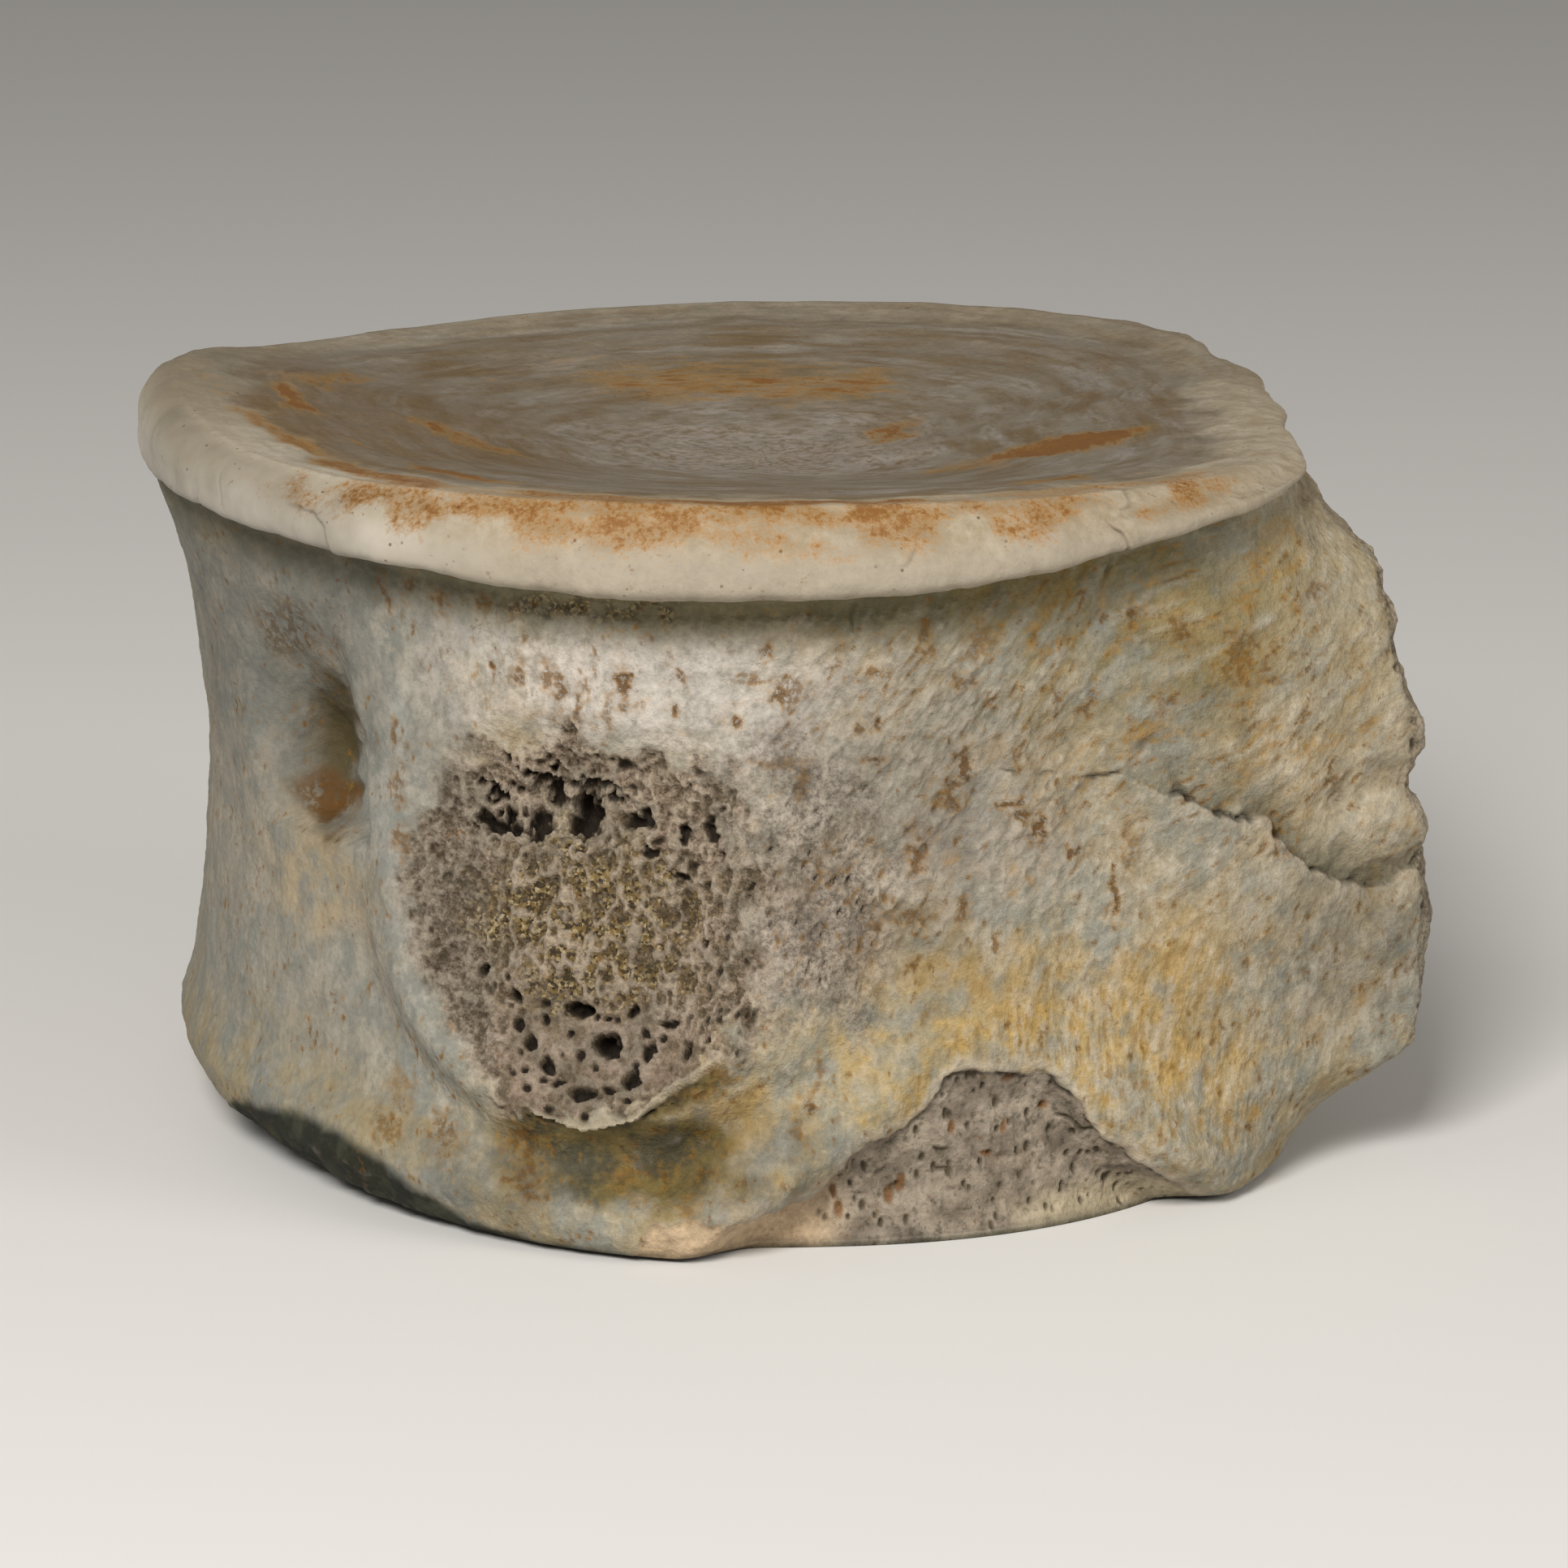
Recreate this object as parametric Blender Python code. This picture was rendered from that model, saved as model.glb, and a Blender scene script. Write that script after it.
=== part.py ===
"""A fossil plesiosaur neck vertebra, one bone, lying on its lower joint face.

The frame: X runs from the belly side of the bone to its back side, -Y is the side that
faces the viewer, and Z is up, along the bone's own axis. The origin is under the middle
of the bone's box. The skin of the bone is a sphere whose points are moved: its poles
become the centres of the two dished joint faces, its rings become the rims, the waist
and the foot, and its meridians go round the bone.

A turn is an angle round the bone's axis, 0 at the back. A ring counts down from the
centre of the upper joint face. An inset is how far a point lies in from the straight
line between the outlines of the two rims.
"""

import math

import bmesh
import bpy
import numpy as np

MM = 0.001

# The spool: two joint faces, and the waist between them
LENGTH = 47.0 * MM       # crest of the upper rim above the floor
UPPER_BELLY = 42.0 * MM  # from the bone's axis out to the upper rim, on the belly side
UPPER_BACK = 40.0 * MM   # the same on the back side, before the canal flattens it
UPPER_SIDE = 44.8 * MM
FOOT_BELLY = 40.0 * MM
FOOT_BACK = 38.4 * MM
FOOT_SIDE = 46.6 * MM
OUTLINE_POWER = 2.22     # 2 is an ellipse, more is squarer
UPPER_DISH = 4.2 * MM    # depth of the joint face below its crest
LOWER_DISH = 4.0 * MM
DISH_ROUND = 0.35        # share of each dish that is a plain bowl, the rest is a soft bell

# Round the crest: (where, half its width, both in degrees from the back), rise
CREST_SWELLS = (
    (180, 45, 1.9 * MM),
    (128, 36, -0.7 * MM),
    (60, 45, 0.4 * MM),
)

# Thickness of the upper rim's lip: (degrees round from the back, share of the thickest)
LIP_SHARES = (
    (0, 0.20),
    (38, 0.20),
    (51, 0.38),
    (61, 0.55),
    (73, 0.78),
    (86, 0.96),
    (105, 1.00),
    (118, 0.90),
    (140, 0.72),
    (180, 0.78),
)
LIP_ENDS, LIP_LOST = 5 * MM, 17 * MM   # below the crest, where the lip's share stops counting

# Rings of the wall: ring, height, then the inset on the flank, on the belly and on the
# back, all in millimetres
WALL = (
    (9, 47.0, 2.6, 2.6, 2.8),
    (10, 46.5, 1.3, 1.4, 1.4),
    (11, 45.3, 0.4, 0.4, 0.4),
    (12, 43.7, 0.0, 0.0, 0.0),
    (13, 42.2, 0.3, 0.2, 0.2),
    (14, 41.2, 1.9, 0.5, 0.6),
    (15, 40.6, 3.7, 0.8, 0.9),
    (16, 39.6, 4.7, 1.1, 1.1),
    (18, 37.0, 4.9, 1.9, 1.4),
    (22, 30.5, 5.1, 3.3, 1.4),
    (26, 23.0, 5.1, 3.5, 1.2),
    (30, 15.8, 4.8, 2.8, 1.2),
    (34, 8.6, 3.6, 1.7, 1.5),
    (36, 5.6, 1.9, 0.6, 1.2),
    (38, 2.9, 0.3, 0.0, 0.5),
    (39, 1.4, 0.4, 0.4, 0.5),
    (40, 0.4, 1.2, 1.2, 1.2),
    (41, 0.0, 2.4, 2.8, 2.4),
)
BELLY_FROM, BELLY_FULL = -0.70, -0.98  # cosines of the turn where the belly's insets hold
BACK_FROM, BACK_FULL = 0.35, 0.80

# The lower rim is worn to a slope on the belly side: its middle and half width round the
# bone in degrees, how far in it goes and how high up it starts
WORN_TURN, WORN_HALF = -152, 56
WORN_IN, WORN_UP = 5.0 * MM, 5.6 * MM

# The nerve canal along the back: an open groove, narrowest halfway up
CANAL_FLAT = 34.9 * MM     # the canal flattens both rims at this distance from the axis
CANAL_FLAT_FAR = 38.6 * MM
CANAL_FLAT_TURNS = (5, 22)  # the turns between which the one becomes the other
CANAL_FLOOR = 31.0 * MM
CANAL_WAIST, CANAL_MOUTH = 15.0, 21.5  # turn of its sides, halfway up and at the rims

# The broken feet of the arch beside the canal: how far each stands out, by turn, and the
# heights between which it rises from the foot and sinks below the rim
STUB_FLANK = 48.8 * MM
STUB_SHARES = ((0, 1.00), (31, 1.00), (40, 0.55), (52, 0.18), (68, 0.00))
STUB_END_TURN = 60
STUB_LOW, STUB_LOW_FULL = 0.5 * MM, 8 * MM
STUB_HIGH, STUB_HIGH_FULL = 46.5 * MM, 36 * MM
FAR_STUB_DOWN, FAR_STUB_SHORT = 3.0 * MM, 1.3 * MM  # the far one broke lower and shorter

# The broken ends: height above the floor, distance back from the axis, in millimetres
STUB_ENDS = (
    (1.0, 33.4),
    (4.7, 35.6),
    (8.7, 41.0),
    (16.0, 41.7),
    (21.6, 41.2),
    (24.6, 39.8),
    (27.0, 40.4),
    (34.0, 38.6),
    (40.0, 37.2),
    (42.6, 35.0),
    (46.0, 33.0),
)

# The scar on each flank where a rib joined: a shallow bowl on a low mound
FACET_X, FACET_Z = -14.2 * MM, 21.0 * MM
FACET_HALF_X, FACET_HALF_Z = 11.0 * MM, 12.6 * MM
FACET_BOWL = 1.7 * MM    # depth of the scar's hollow inside its rim
FACET_SQUARER = 1.5      # how much squarer its upper half is than an ellipse
FACET_RIM, FACET_FALL, FACET_FALL_BACK = 0.95, 1.30, 0.50  # as shares of its half size

# The scar's surface: height from its middle as a share of its half, inset in millimetres
FACET_LEVELS = ((-1.4, 0.6), (-1.0, 0.9), (0.0, 3.2), (1.0, 4.9), (1.4, 5.2))

# Two dents of the scar: the row of holes near its top, which broke into one trench, and
# the flank that lies back under its lower lip
TRENCH_X, TRENCH_Z, TRENCH_DEPTH = -15.6 * MM, 26.8 * MM, 1.8 * MM
TRENCH_HALF_X, TRENCH_HALF_Z = 6.6 * MM, 2.4 * MM
UNDER_X, UNDER_Z, UNDER_DEPTH = -12.4 * MM, 5.4 * MM, 1.2 * MM
UNDER_HALF_X, UNDER_HALF_Z = 9.0 * MM, 3.9 * MM

# A vessel's hole beside the scar: a groove whose depth grows towards its lower end
HOLE_X, HOLE_TOP, HOLE_END = -29.8 * MM, 36.0 * MM, 24.0 * MM
HOLE_LEAN = 1.8 * MM     # how much further towards the belly its top is
HOLE_HALF_BACK, HOLE_HALF_BELLY = 2.9 * MM, 4.2 * MM
HOLE_DEPTH = 4.3 * MM
HOLE_DEPTHS = ((-0.2, 0.0), (0.2, 0.35), (0.75, 1.0), (1.0, 0.8), (1.12, 0.0))
FAR_BACK, FAR_UP = 1.4 * MM, 1.1 * MM  # the far side's scar and hole sit a little off

# The chip out of the lower rim: its upper edge as distance back from the axis, height
CHIP_EDGE = (
    (-11.0, -3.0),
    (-4.0, 2.6),
    (0.0, 5.4),
    (4.5, 8.6),
    (8.5, 12.0),
    (14.5, 11.0),
    (17.5, 7.6),
    (21.0, 5.4),
    (25.0, 1.8),
    (29.0, -3.0),
)
CHIP_INSET = 5.2 * MM
CHIP_ABOVE, CHIP_BELOW = 1.8 * MM, 3.0 * MM  # from its edge, where its slope starts and ends

# The mesh: meridians, and rings from the upper centre to the lower
AROUND, RINGS = 116, 51
CREST_RING, FOOT_RING = 9, 41
NEAR_CLOSER = 0.25       # how much closer the meridians stand on the near side


def ramp(low, high, value):
    """0 at low, 1 at high, with a smooth step between; low may be the larger."""
    t = np.clip((value - low) / (high - low), 0, 1)
    return t * t * (3 - 2 * t)


def hump(value, half):
    """1 at 0, falling smoothly to 0 at half on either side."""
    t = np.clip(1 - (value / half) ** 2, 0, 1)
    return t * t


def smaller(a, b, power=16):
    """The smaller of two distances, rounded where they cross."""
    return a * (1 + (a / b) ** power) ** (-1 / power)


def away(turn, degrees):
    """Angle between each turn and a direction in degrees, signed, in degrees."""
    return (np.degrees(turn) - degrees + 180) % 360 - 180


def through(stops, at):
    """A smooth curve through the stops, pairs of place and value, level past the ends."""
    places, values = np.array(stops, float).T
    at = np.clip(at, places[0], places[-1])
    step = np.diff(places)
    slope = np.diff(values) / step
    product = slope[:-1] * slope[1:]
    total = np.where(product > 0, slope[:-1] + slope[1:], 1)
    inner = np.where(product > 0, 2 * product / total, 0)
    slopes = np.concatenate([slope[:1], inner, slope[-1:]])
    i = np.clip(np.searchsorted(places, at, side="right") - 1, 0, len(step) - 1)
    u, h = (at - places[i]) / step[i], step[i]
    start, end = values[i] * (1 + 2 * u) * (1 - u) ** 2, values[i + 1] * u * u * (3 - 2 * u)
    return start + end + h * u * (1 - u) * (slopes[i] * (1 - u) - slopes[i + 1] * u)


def outline(turn, belly, back, side):
    """Distance from the axis to a joint face's outline, flattened over the canal."""
    along, across = np.cos(turn), np.abs(np.sin(turn))
    half = np.where(along < 0, belly, back)
    power = OUTLINE_POWER
    free = (np.abs(along / half) ** power + (across / side) ** power) ** (-1 / power)
    far = ramp(*CANAL_FLAT_TURNS, away(turn, 0))
    flat = CANAL_FLAT + (CANAL_FLAT_FAR - CANAL_FLAT) * far
    return smaller(free, flat / np.maximum(along, 0.05))


def plain_wall(turn, height):
    """The straight line between the outlines of the two rims."""
    upper = outline(turn, UPPER_BELLY, UPPER_BACK, UPPER_SIDE)
    foot = outline(turn, FOOT_BELLY, FOOT_BACK, FOOT_SIDE)
    return foot + (upper - foot) * np.clip(height / LENGTH, 0, 1)


def spool(turn, ring):
    """Distance from the axis and height of the plain spool's wall."""
    rings, heights, flank, belly, back = np.array(WALL).T
    height = through(np.stack([rings, heights], -1), ring) * MM
    reach = plain_wall(turn, height)
    on_belly = ramp(BELLY_FROM, BELLY_FULL, np.cos(turn))
    on_back = ramp(BACK_FROM, BACK_FULL, np.cos(turn))
    shares = (1 - on_belly - on_back, on_belly, on_back)
    for inset, share in zip((flank, belly, back), shares):
        reach = reach - through(np.stack([rings, inset], -1), ring) * MM * share

    lip = through(LIP_SHARES, np.abs(away(turn, 0)))
    below = LENGTH - height
    up = height / LENGTH
    height = LENGTH - below * (lip + (1 - lip) * ramp(LIP_ENDS, LIP_LOST, below))
    for where, half, rise in CREST_SWELLS:
        height = height + rise * hump(away(turn, where), half) * up ** 3
    return reach, height


def arch_feet(turn, reach, height):
    """The two broken feet of the arch, with the canal between them."""
    side, far = np.abs(away(turn, 0)), np.sin(turn) > 0
    tall = ramp(STUB_LOW, STUB_LOW_FULL, height) * ramp(STUB_HIGH, STUB_HIGH_FULL, height)
    flank = reach + (STUB_FLANK - reach) * through(STUB_SHARES, side) * tall
    straight = np.cos(np.radians(np.minimum(side, STUB_END_TURN)))
    level = height + np.where(far, FAR_STUB_DOWN * tall, 0)
    ends = through(STUB_ENDS, level / MM) * MM - np.where(far, FAR_STUB_SHORT * tall, 0)
    foot = smaller(flank, ends / straight, 60)

    canal = reach + (CANAL_FLOOR / straight - reach) * tall
    mouth = (2 * height / LENGTH - 1) ** 2
    canal_side = CANAL_WAIST + (CANAL_MOUTH - CANAL_WAIST) * mouth
    foot = canal + (foot - canal) * ramp(0.25, 1.25, side / canal_side)
    return reach + (foot - reach) * ramp(STUB_SHARES[-1][0], STUB_END_TURN, side)


def facet(x, height, inset):
    """How far the rib's scar stands out of the flank."""
    across = (x - FACET_X) / FACET_HALF_X
    up = (height - FACET_Z) / FACET_HALF_Z
    power = 2 + FACET_SQUARER * ramp(0, 0.8, up)
    out = (np.abs(across) ** power + np.abs(up) ** power) ** (1 / power)
    mound = np.maximum(inset - through(FACET_LEVELS, up) * MM, 0)
    fall = FACET_FALL + FACET_FALL_BACK * ramp(-0.2, 0.8, across) * ramp(-1.1, -0.4, up)
    return mound * ramp(fall, FACET_RIM, out) - FACET_BOWL * ramp(1.02, 0.62, out)


def scar_dents(x, height):
    """Depth of the trench of holes in the scar, and of the hollow below the scar."""
    trench = np.hypot((x - TRENCH_X) / TRENCH_HALF_X, (height - TRENCH_Z) / TRENCH_HALF_Z)
    under = np.hypot((x - UNDER_X) / UNDER_HALF_X, (height - UNDER_Z) / UNDER_HALF_Z)
    return TRENCH_DEPTH * hump(trench, 1) + UNDER_DEPTH * hump(under, 1)


def vessel_hole(x, height):
    """Depth of the groove that leads to a vessel's hole, deepest at its lower end."""
    along = (HOLE_TOP - height) / (HOLE_TOP - HOLE_END)
    from_middle = x - HOLE_X + HOLE_LEAN * np.clip(1 - along, 0, 1)
    half = np.where(from_middle > 0, HOLE_HALF_BACK, HOLE_HALF_BELLY)
    return HOLE_DEPTH * through(HOLE_DEPTHS, along) * ramp(1.1, 0.3, np.abs(from_middle) / half)


def chip(x, height, inset):
    """How far the broken surface lies behind the whole one."""
    under = through(CHIP_EDGE, x / MM) * MM - height
    return np.maximum(CHIP_INSET - inset, 0) * ramp(-CHIP_ABOVE, CHIP_BELOW, under)


def worn_foot(turn, height):
    """How far the worn slope under the lower rim goes in."""
    slope = np.clip(1 - height / WORN_UP, 0, 1) ** 1.3
    return WORN_IN * hump(away(turn, WORN_TURN), WORN_HALF) * slope


def skin(turn, ring):
    """The point of the bone's skin at each meridian and ring."""
    reach, height = spool(turn, np.clip(ring, CREST_RING, FOOT_RING))
    inset = plain_wall(turn, height) - reach
    x = reach * np.cos(turn)
    near, far = ramp(0.05, 0.35, -np.sin(turn)), ramp(0.05, 0.35, np.sin(turn))
    scar = x - FAR_BACK * far, height - FAR_UP * far
    stands_out = facet(*scar, inset) - scar_dents(*scar) - vessel_hole(*scar)
    reach = reach + stands_out * (near + far)
    reach = reach - chip(x, height, inset) * near - worn_foot(turn, height)
    reach = arch_feet(turn, reach, height)

    above, below = ring < CREST_RING, ring > FOOT_RING
    share = np.where(above, ring / CREST_RING, 1.0)
    share = np.where(below, (RINGS - ring) / (RINGS - FOOT_RING), share)
    bell = (1 + np.cos(math.pi * share)) / 2
    dish = DISH_ROUND * (1 - share ** 2) + (1 - DISH_ROUND) * bell
    height = np.where(above, LENGTH + (height - LENGTH) * share ** 2, height)
    height = height - UPPER_DISH * dish * above + LOWER_DISH * dish * below
    return np.stack([reach * share * np.cos(turn), reach * share * np.sin(turn), height], -1)


def bone_material():
    """Cream and grey fossil bone."""
    material = bpy.data.materials.new("fossil_bone")
    material.use_nodes = True
    shader = material.node_tree.nodes["Principled BSDF"]
    shader.inputs["Base Color"].default_value = (0.52, 0.45, 0.33, 1)
    shader.inputs["Roughness"].default_value = 0.72
    shader.inputs["Metallic"].default_value = 0.0
    return material


def make_vertebra(collection):
    """The bone: a unit sphere, each point of it moved to its place on the skin."""
    shape = bmesh.new()
    bmesh.ops.create_uvsphere(shape, u_segments=AROUND, v_segments=RINGS, radius=1)
    points = np.array([point.co for point in shape.verts])
    turn = np.arctan2(points[:, 1], points[:, 0])
    turn = turn - NEAR_CLOSER * np.cos(turn)
    ring = np.arccos(np.clip(points[:, 2], -1, 1)) * RINGS / math.pi
    placed = skin(turn, ring)
    placed[:, :2] -= (placed.min(0) + placed.max(0))[:2] / 2
    for point, place in zip(shape.verts, placed):
        point.co = place
    bmesh.ops.triangulate(shape, faces=shape.faces, quad_method="SHORT_EDGE")

    mesh = bpy.data.meshes.new("vertebra")
    shape.to_mesh(mesh)
    shape.free()
    mesh.shade_smooth()
    mesh.materials.append(bone_material())
    collection.objects.link(bpy.data.objects.new("vertebra", mesh))


def main():
    for old in list(bpy.data.objects):
        bpy.data.objects.remove(old, do_unlink=True)
    collection = bpy.data.collections.new("plesiosaur_vertebra")
    bpy.context.scene.collection.children.link(collection)
    make_vertebra(collection)


main()
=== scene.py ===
# %% [markdown]
# # A fossil vertebra, from a plain solid to a museum piece
# The imported model holds one bone: the body of a plesiosaur's neck vertebra, which lies on its
# lower joint face. Its solid has the right size and outline, but a smooth skin. This lesson
# builds the same skin again with far more points, breaks and wears it as the real one is, and
# gives it a finish made of nodes. The imported model comes first, and what it holds is not moved
# or resized.

# %% The imported model
import math

import bpy
import numpy as np
from mathutils import Matrix, Vector


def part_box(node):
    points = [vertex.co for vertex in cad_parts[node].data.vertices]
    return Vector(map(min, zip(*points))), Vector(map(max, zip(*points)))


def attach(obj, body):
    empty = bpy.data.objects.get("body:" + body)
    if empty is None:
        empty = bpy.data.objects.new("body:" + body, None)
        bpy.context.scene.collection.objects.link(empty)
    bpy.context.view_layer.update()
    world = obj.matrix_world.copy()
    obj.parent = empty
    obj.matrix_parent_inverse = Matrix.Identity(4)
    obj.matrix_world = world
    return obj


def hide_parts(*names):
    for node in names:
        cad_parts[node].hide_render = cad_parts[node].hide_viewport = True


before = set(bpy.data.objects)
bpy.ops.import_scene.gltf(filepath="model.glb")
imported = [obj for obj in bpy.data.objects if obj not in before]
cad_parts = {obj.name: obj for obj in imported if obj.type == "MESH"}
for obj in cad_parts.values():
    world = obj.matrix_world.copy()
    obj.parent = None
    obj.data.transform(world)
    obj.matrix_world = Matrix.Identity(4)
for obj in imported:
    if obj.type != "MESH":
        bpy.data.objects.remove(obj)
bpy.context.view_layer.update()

MM = 0.001
NODE = "vertebra"
solid_low, solid_high = (np.array(corner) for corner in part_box(NODE))
print("the solid measures", np.round((solid_high - solid_low) / MM, 1), "mm")

# %% [markdown]
# ## The camera
# The photograph is a close-up from about 400 mm, a little above the rim and a little to the
# belly side. Its angle came from laying the two rims over the picture. A long lens from further
# away would flatten the bone, so distance and focal length are both kept.

# %% Camera
PHOTO_SIDE = 1932                # pixels, the photograph is square
FOCAL_PIXELS = 7214
CAMERA_DISTANCE = 400 * MM
CAMERA_AZIMUTH, CAMERA_ELEVATION, CAMERA_ROLL = -5.0, 12.87, 0.38   # degrees
LOOKED_AT = Vector((1.57, 0.0, 20.04)) * MM
SENSOR = 36.0                    # mm


def camera_axes(azimuth, elevation, roll):
    """Right, up and backward directions of a camera at these angles, in degrees."""
    a, e, r = (math.radians(angle) for angle in (azimuth, elevation, roll))
    back = Vector((math.sin(a) * math.cos(e), -math.cos(a) * math.cos(e), math.sin(e)))
    right = (-back).cross(Vector((0, 0, 1))).normalized()
    up = right.cross(-back)
    return (
        right * math.cos(r) + up * math.sin(r),
        up * math.cos(r) - right * math.sin(r),
        back,
    )


def add_camera():
    """The camera at the photograph's angle, with everything in focus."""
    data = bpy.data.cameras.new("camera")
    data.sensor_width = SENSOR
    data.lens = FOCAL_PIXELS / PHOTO_SIDE * SENSOR
    data.clip_start = 10 * MM
    camera = bpy.data.objects.new("camera", data)
    right, up, back = camera_axes(CAMERA_AZIMUTH, CAMERA_ELEVATION, CAMERA_ROLL)
    matrix = Matrix((right, up, back)).transposed().to_4x4()
    matrix.translation = LOOKED_AT + back * CAMERA_DISTANCE
    camera.matrix_world = matrix
    bpy.context.scene.collection.objects.link(camera)
    bpy.context.scene.camera = camera
    return camera


camera = add_camera()
print("lens", round(camera.data.lens, 1), "mm at", [round(v / MM) for v in camera.location])

# %% [markdown]
# ## Light and floor
# The real piece was lit from the front and a little from above, softly: its dished top is
# darker than its rim, the lip's lower edge is the brightest part, and under it lies a thin
# shade. One large lamp stands for that light. A weak lamp on the right opens the shadows, and a
# pale world fills in the rest. The floor is a wide plain disc, so that no edge of it shows.

# %% Light and floor
FLOOR_RADIUS = 3.0
FLOOR_TONE, FLOOR_ROUGH = (0.74, 0.73, 0.71), 0.9
WORLD_TONE, WORLD_STRENGTH = (1.0, 0.965, 0.91), 0.25

# Name, azimuth, elevation, distance, width, power in watts, tone
LAMPS = (
    ("key_lamp", -20, 36, 0.75, 0.24, 5.6, (1.0, 0.98, 0.95)),
    ("side_lamp", 60, 24, 0.90, 0.40, 1.8, (1.0, 0.98, 0.95)),
)


def add_lamp(name, azimuth, elevation, distance, width, power, tone):
    """A square soft lamp that looks at the bone."""
    data = bpy.data.lights.new(name, "AREA")
    data.size, data.energy, data.color = width, power, tone
    lamp = bpy.data.objects.new(name, data)
    right, up, back = camera_axes(azimuth, elevation, 0)
    lamp.matrix_world = Matrix((right, up, back)).transposed().to_4x4()
    lamp.location = LOOKED_AT + back * distance
    bpy.context.scene.collection.objects.link(lamp)


def add_floor():
    """The pale floor, a disc that the bone's foot stands on."""
    bpy.ops.mesh.primitive_circle_add(vertices=96, radius=FLOOR_RADIUS, fill_type="NGON")
    floor = bpy.context.active_object
    floor.name = "floor"
    paint = bpy.data.materials.new("floor_paint")
    paint.use_nodes = True
    shader = paint.node_tree.nodes["Principled BSDF"]
    shader.inputs["Base Color"].default_value = (*FLOOR_TONE, 1)
    shader.inputs["Roughness"].default_value = FLOOR_ROUGH
    floor.data.materials.append(paint)
    return floor


def light_world():
    """An even pale sky, which also fills the frame past the floor."""
    world = bpy.data.worlds.new("pale_room")
    world.use_nodes = True
    sky = world.node_tree.nodes["Background"]
    sky.inputs["Color"].default_value = (*WORLD_TONE, 1)
    sky.inputs["Strength"].default_value = WORLD_STRENGTH
    bpy.context.scene.world = world


for lamp in LAMPS:
    add_lamp(*lamp)
floor = add_floor()
light_world()
bpy.context.scene.view_settings.view_transform = "Standard"
print(len(LAMPS), "lamps and a floor of", 2 * FLOOR_RADIUS, "m")

# %% [markdown]
# ## The shape, in its own sizes
# A vertebra's body is a spool: two dished joint faces with thick lips, and a waist between. The
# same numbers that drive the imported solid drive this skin, so both have one outline. Each
# feature has a size and a place, and each place is a turn round the bone's axis, with 0 at the
# back, a height, or a distance back from the axis.

# %% Sizes of the bone
# The spool: two joint faces, and the waist between them
LENGTH = 47.0 * MM       # crest of the upper rim above the floor
UPPER_BELLY = 42.0 * MM  # from the bone's axis out to the upper rim, on the belly side
UPPER_BACK = 40.0 * MM   # the same on the back side, before the canal flattens it
UPPER_SIDE = 44.8 * MM
FOOT_BELLY = 40.0 * MM
FOOT_BACK = 38.4 * MM
FOOT_SIDE = 46.6 * MM
OUTLINE_POWER = 2.22     # 2 is an ellipse, more is squarer
UPPER_DISH = 4.2 * MM    # depth of the joint face below its crest
LOWER_DISH = 4.0 * MM
DISH_ROUND = 0.35        # share of each dish that is a plain bowl, the rest is a soft bell

# Round the crest: (where, half its width, both in degrees from the back), rise
CREST_SWELLS = (
    (180, 45, 1.9 * MM),
    (128, 36, -0.7 * MM),
    (60, 45, 0.4 * MM),
)

# Thickness of the upper rim's lip: (degrees round from the back, share of the thickest)
LIP_SHARES = (
    (0, 0.20), (38, 0.20), (51, 0.38), (61, 0.55), (73, 0.78), (86, 0.96), (105, 1.00),
    (118, 0.90), (140, 0.72), (180, 0.78),
)
LIP_ENDS, LIP_LOST = 5 * MM, 17 * MM   # below the crest, where the lip's share stops counting

# Rings of the wall: ring, height, then the inset on the flank, on the belly and on the
# back, all in millimetres
WALL = (
    (9, 47.0, 2.6, 2.6, 2.8),
    (10, 46.5, 1.3, 1.4, 1.4),
    (11, 45.3, 0.4, 0.4, 0.4),
    (12, 43.7, 0.0, 0.0, 0.0),
    (13, 42.2, 0.3, 0.2, 0.2),
    (14, 41.2, 1.9, 0.5, 0.6),
    (15, 40.6, 3.7, 0.8, 0.9),
    (16, 39.6, 4.7, 1.1, 1.1),
    (18, 37.0, 4.9, 1.9, 1.4),
    (22, 30.5, 5.1, 3.3, 1.4),
    (26, 23.0, 5.1, 3.5, 1.2),
    (30, 15.8, 4.8, 2.8, 1.2),
    (34, 8.6, 3.6, 1.7, 1.5),
    (36, 5.6, 1.9, 0.6, 1.2),
    (38, 2.9, 0.3, 0.0, 0.5),
    (39, 1.4, 0.4, 0.4, 0.5),
    (40, 0.4, 1.2, 1.2, 1.2),
    (41, 0.0, 2.4, 2.8, 2.4),
)
BELLY_FROM, BELLY_FULL = -0.70, -0.98  # cosines of the turn where the belly's insets hold
BACK_FROM, BACK_FULL = 0.35, 0.80

# The lower rim is worn to a slope on the belly side: its middle and half width round the
# bone in degrees, how far in it goes and how high up it starts
WORN_TURN, WORN_HALF = -152, 56
WORN_IN, WORN_UP = 5.0 * MM, 5.6 * MM

CREST_RING, FOOT_RING, RINGS = 9, 41, 51   # counted down from the middle of the upper face
print("the wall has", len(WALL), "rings from rim to rim")

# %% [markdown]
# ## What makes the spool a vertebra
# At the back the nerve canal runs up between the two broken feet of the arch. Each flank has the
# scar of a rib and a vessel's hole, and the near one lost a chip at its foot. These features are
# kept apart from the spool, because each of them is pushed in or out of its finished wall.

# %% Sizes of the features
# The nerve canal along the back: an open groove, narrowest halfway up
CANAL_FLAT = 34.9 * MM     # the canal flattens both rims at this distance from the axis
CANAL_FLAT_FAR = 38.6 * MM
CANAL_FLAT_TURNS = (5, 22)  # the turns between which the one becomes the other
CANAL_FLOOR = 31.0 * MM
CANAL_WAIST, CANAL_MOUTH = 15.0, 21.5  # turn of its sides, halfway up and at the rims

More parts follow.
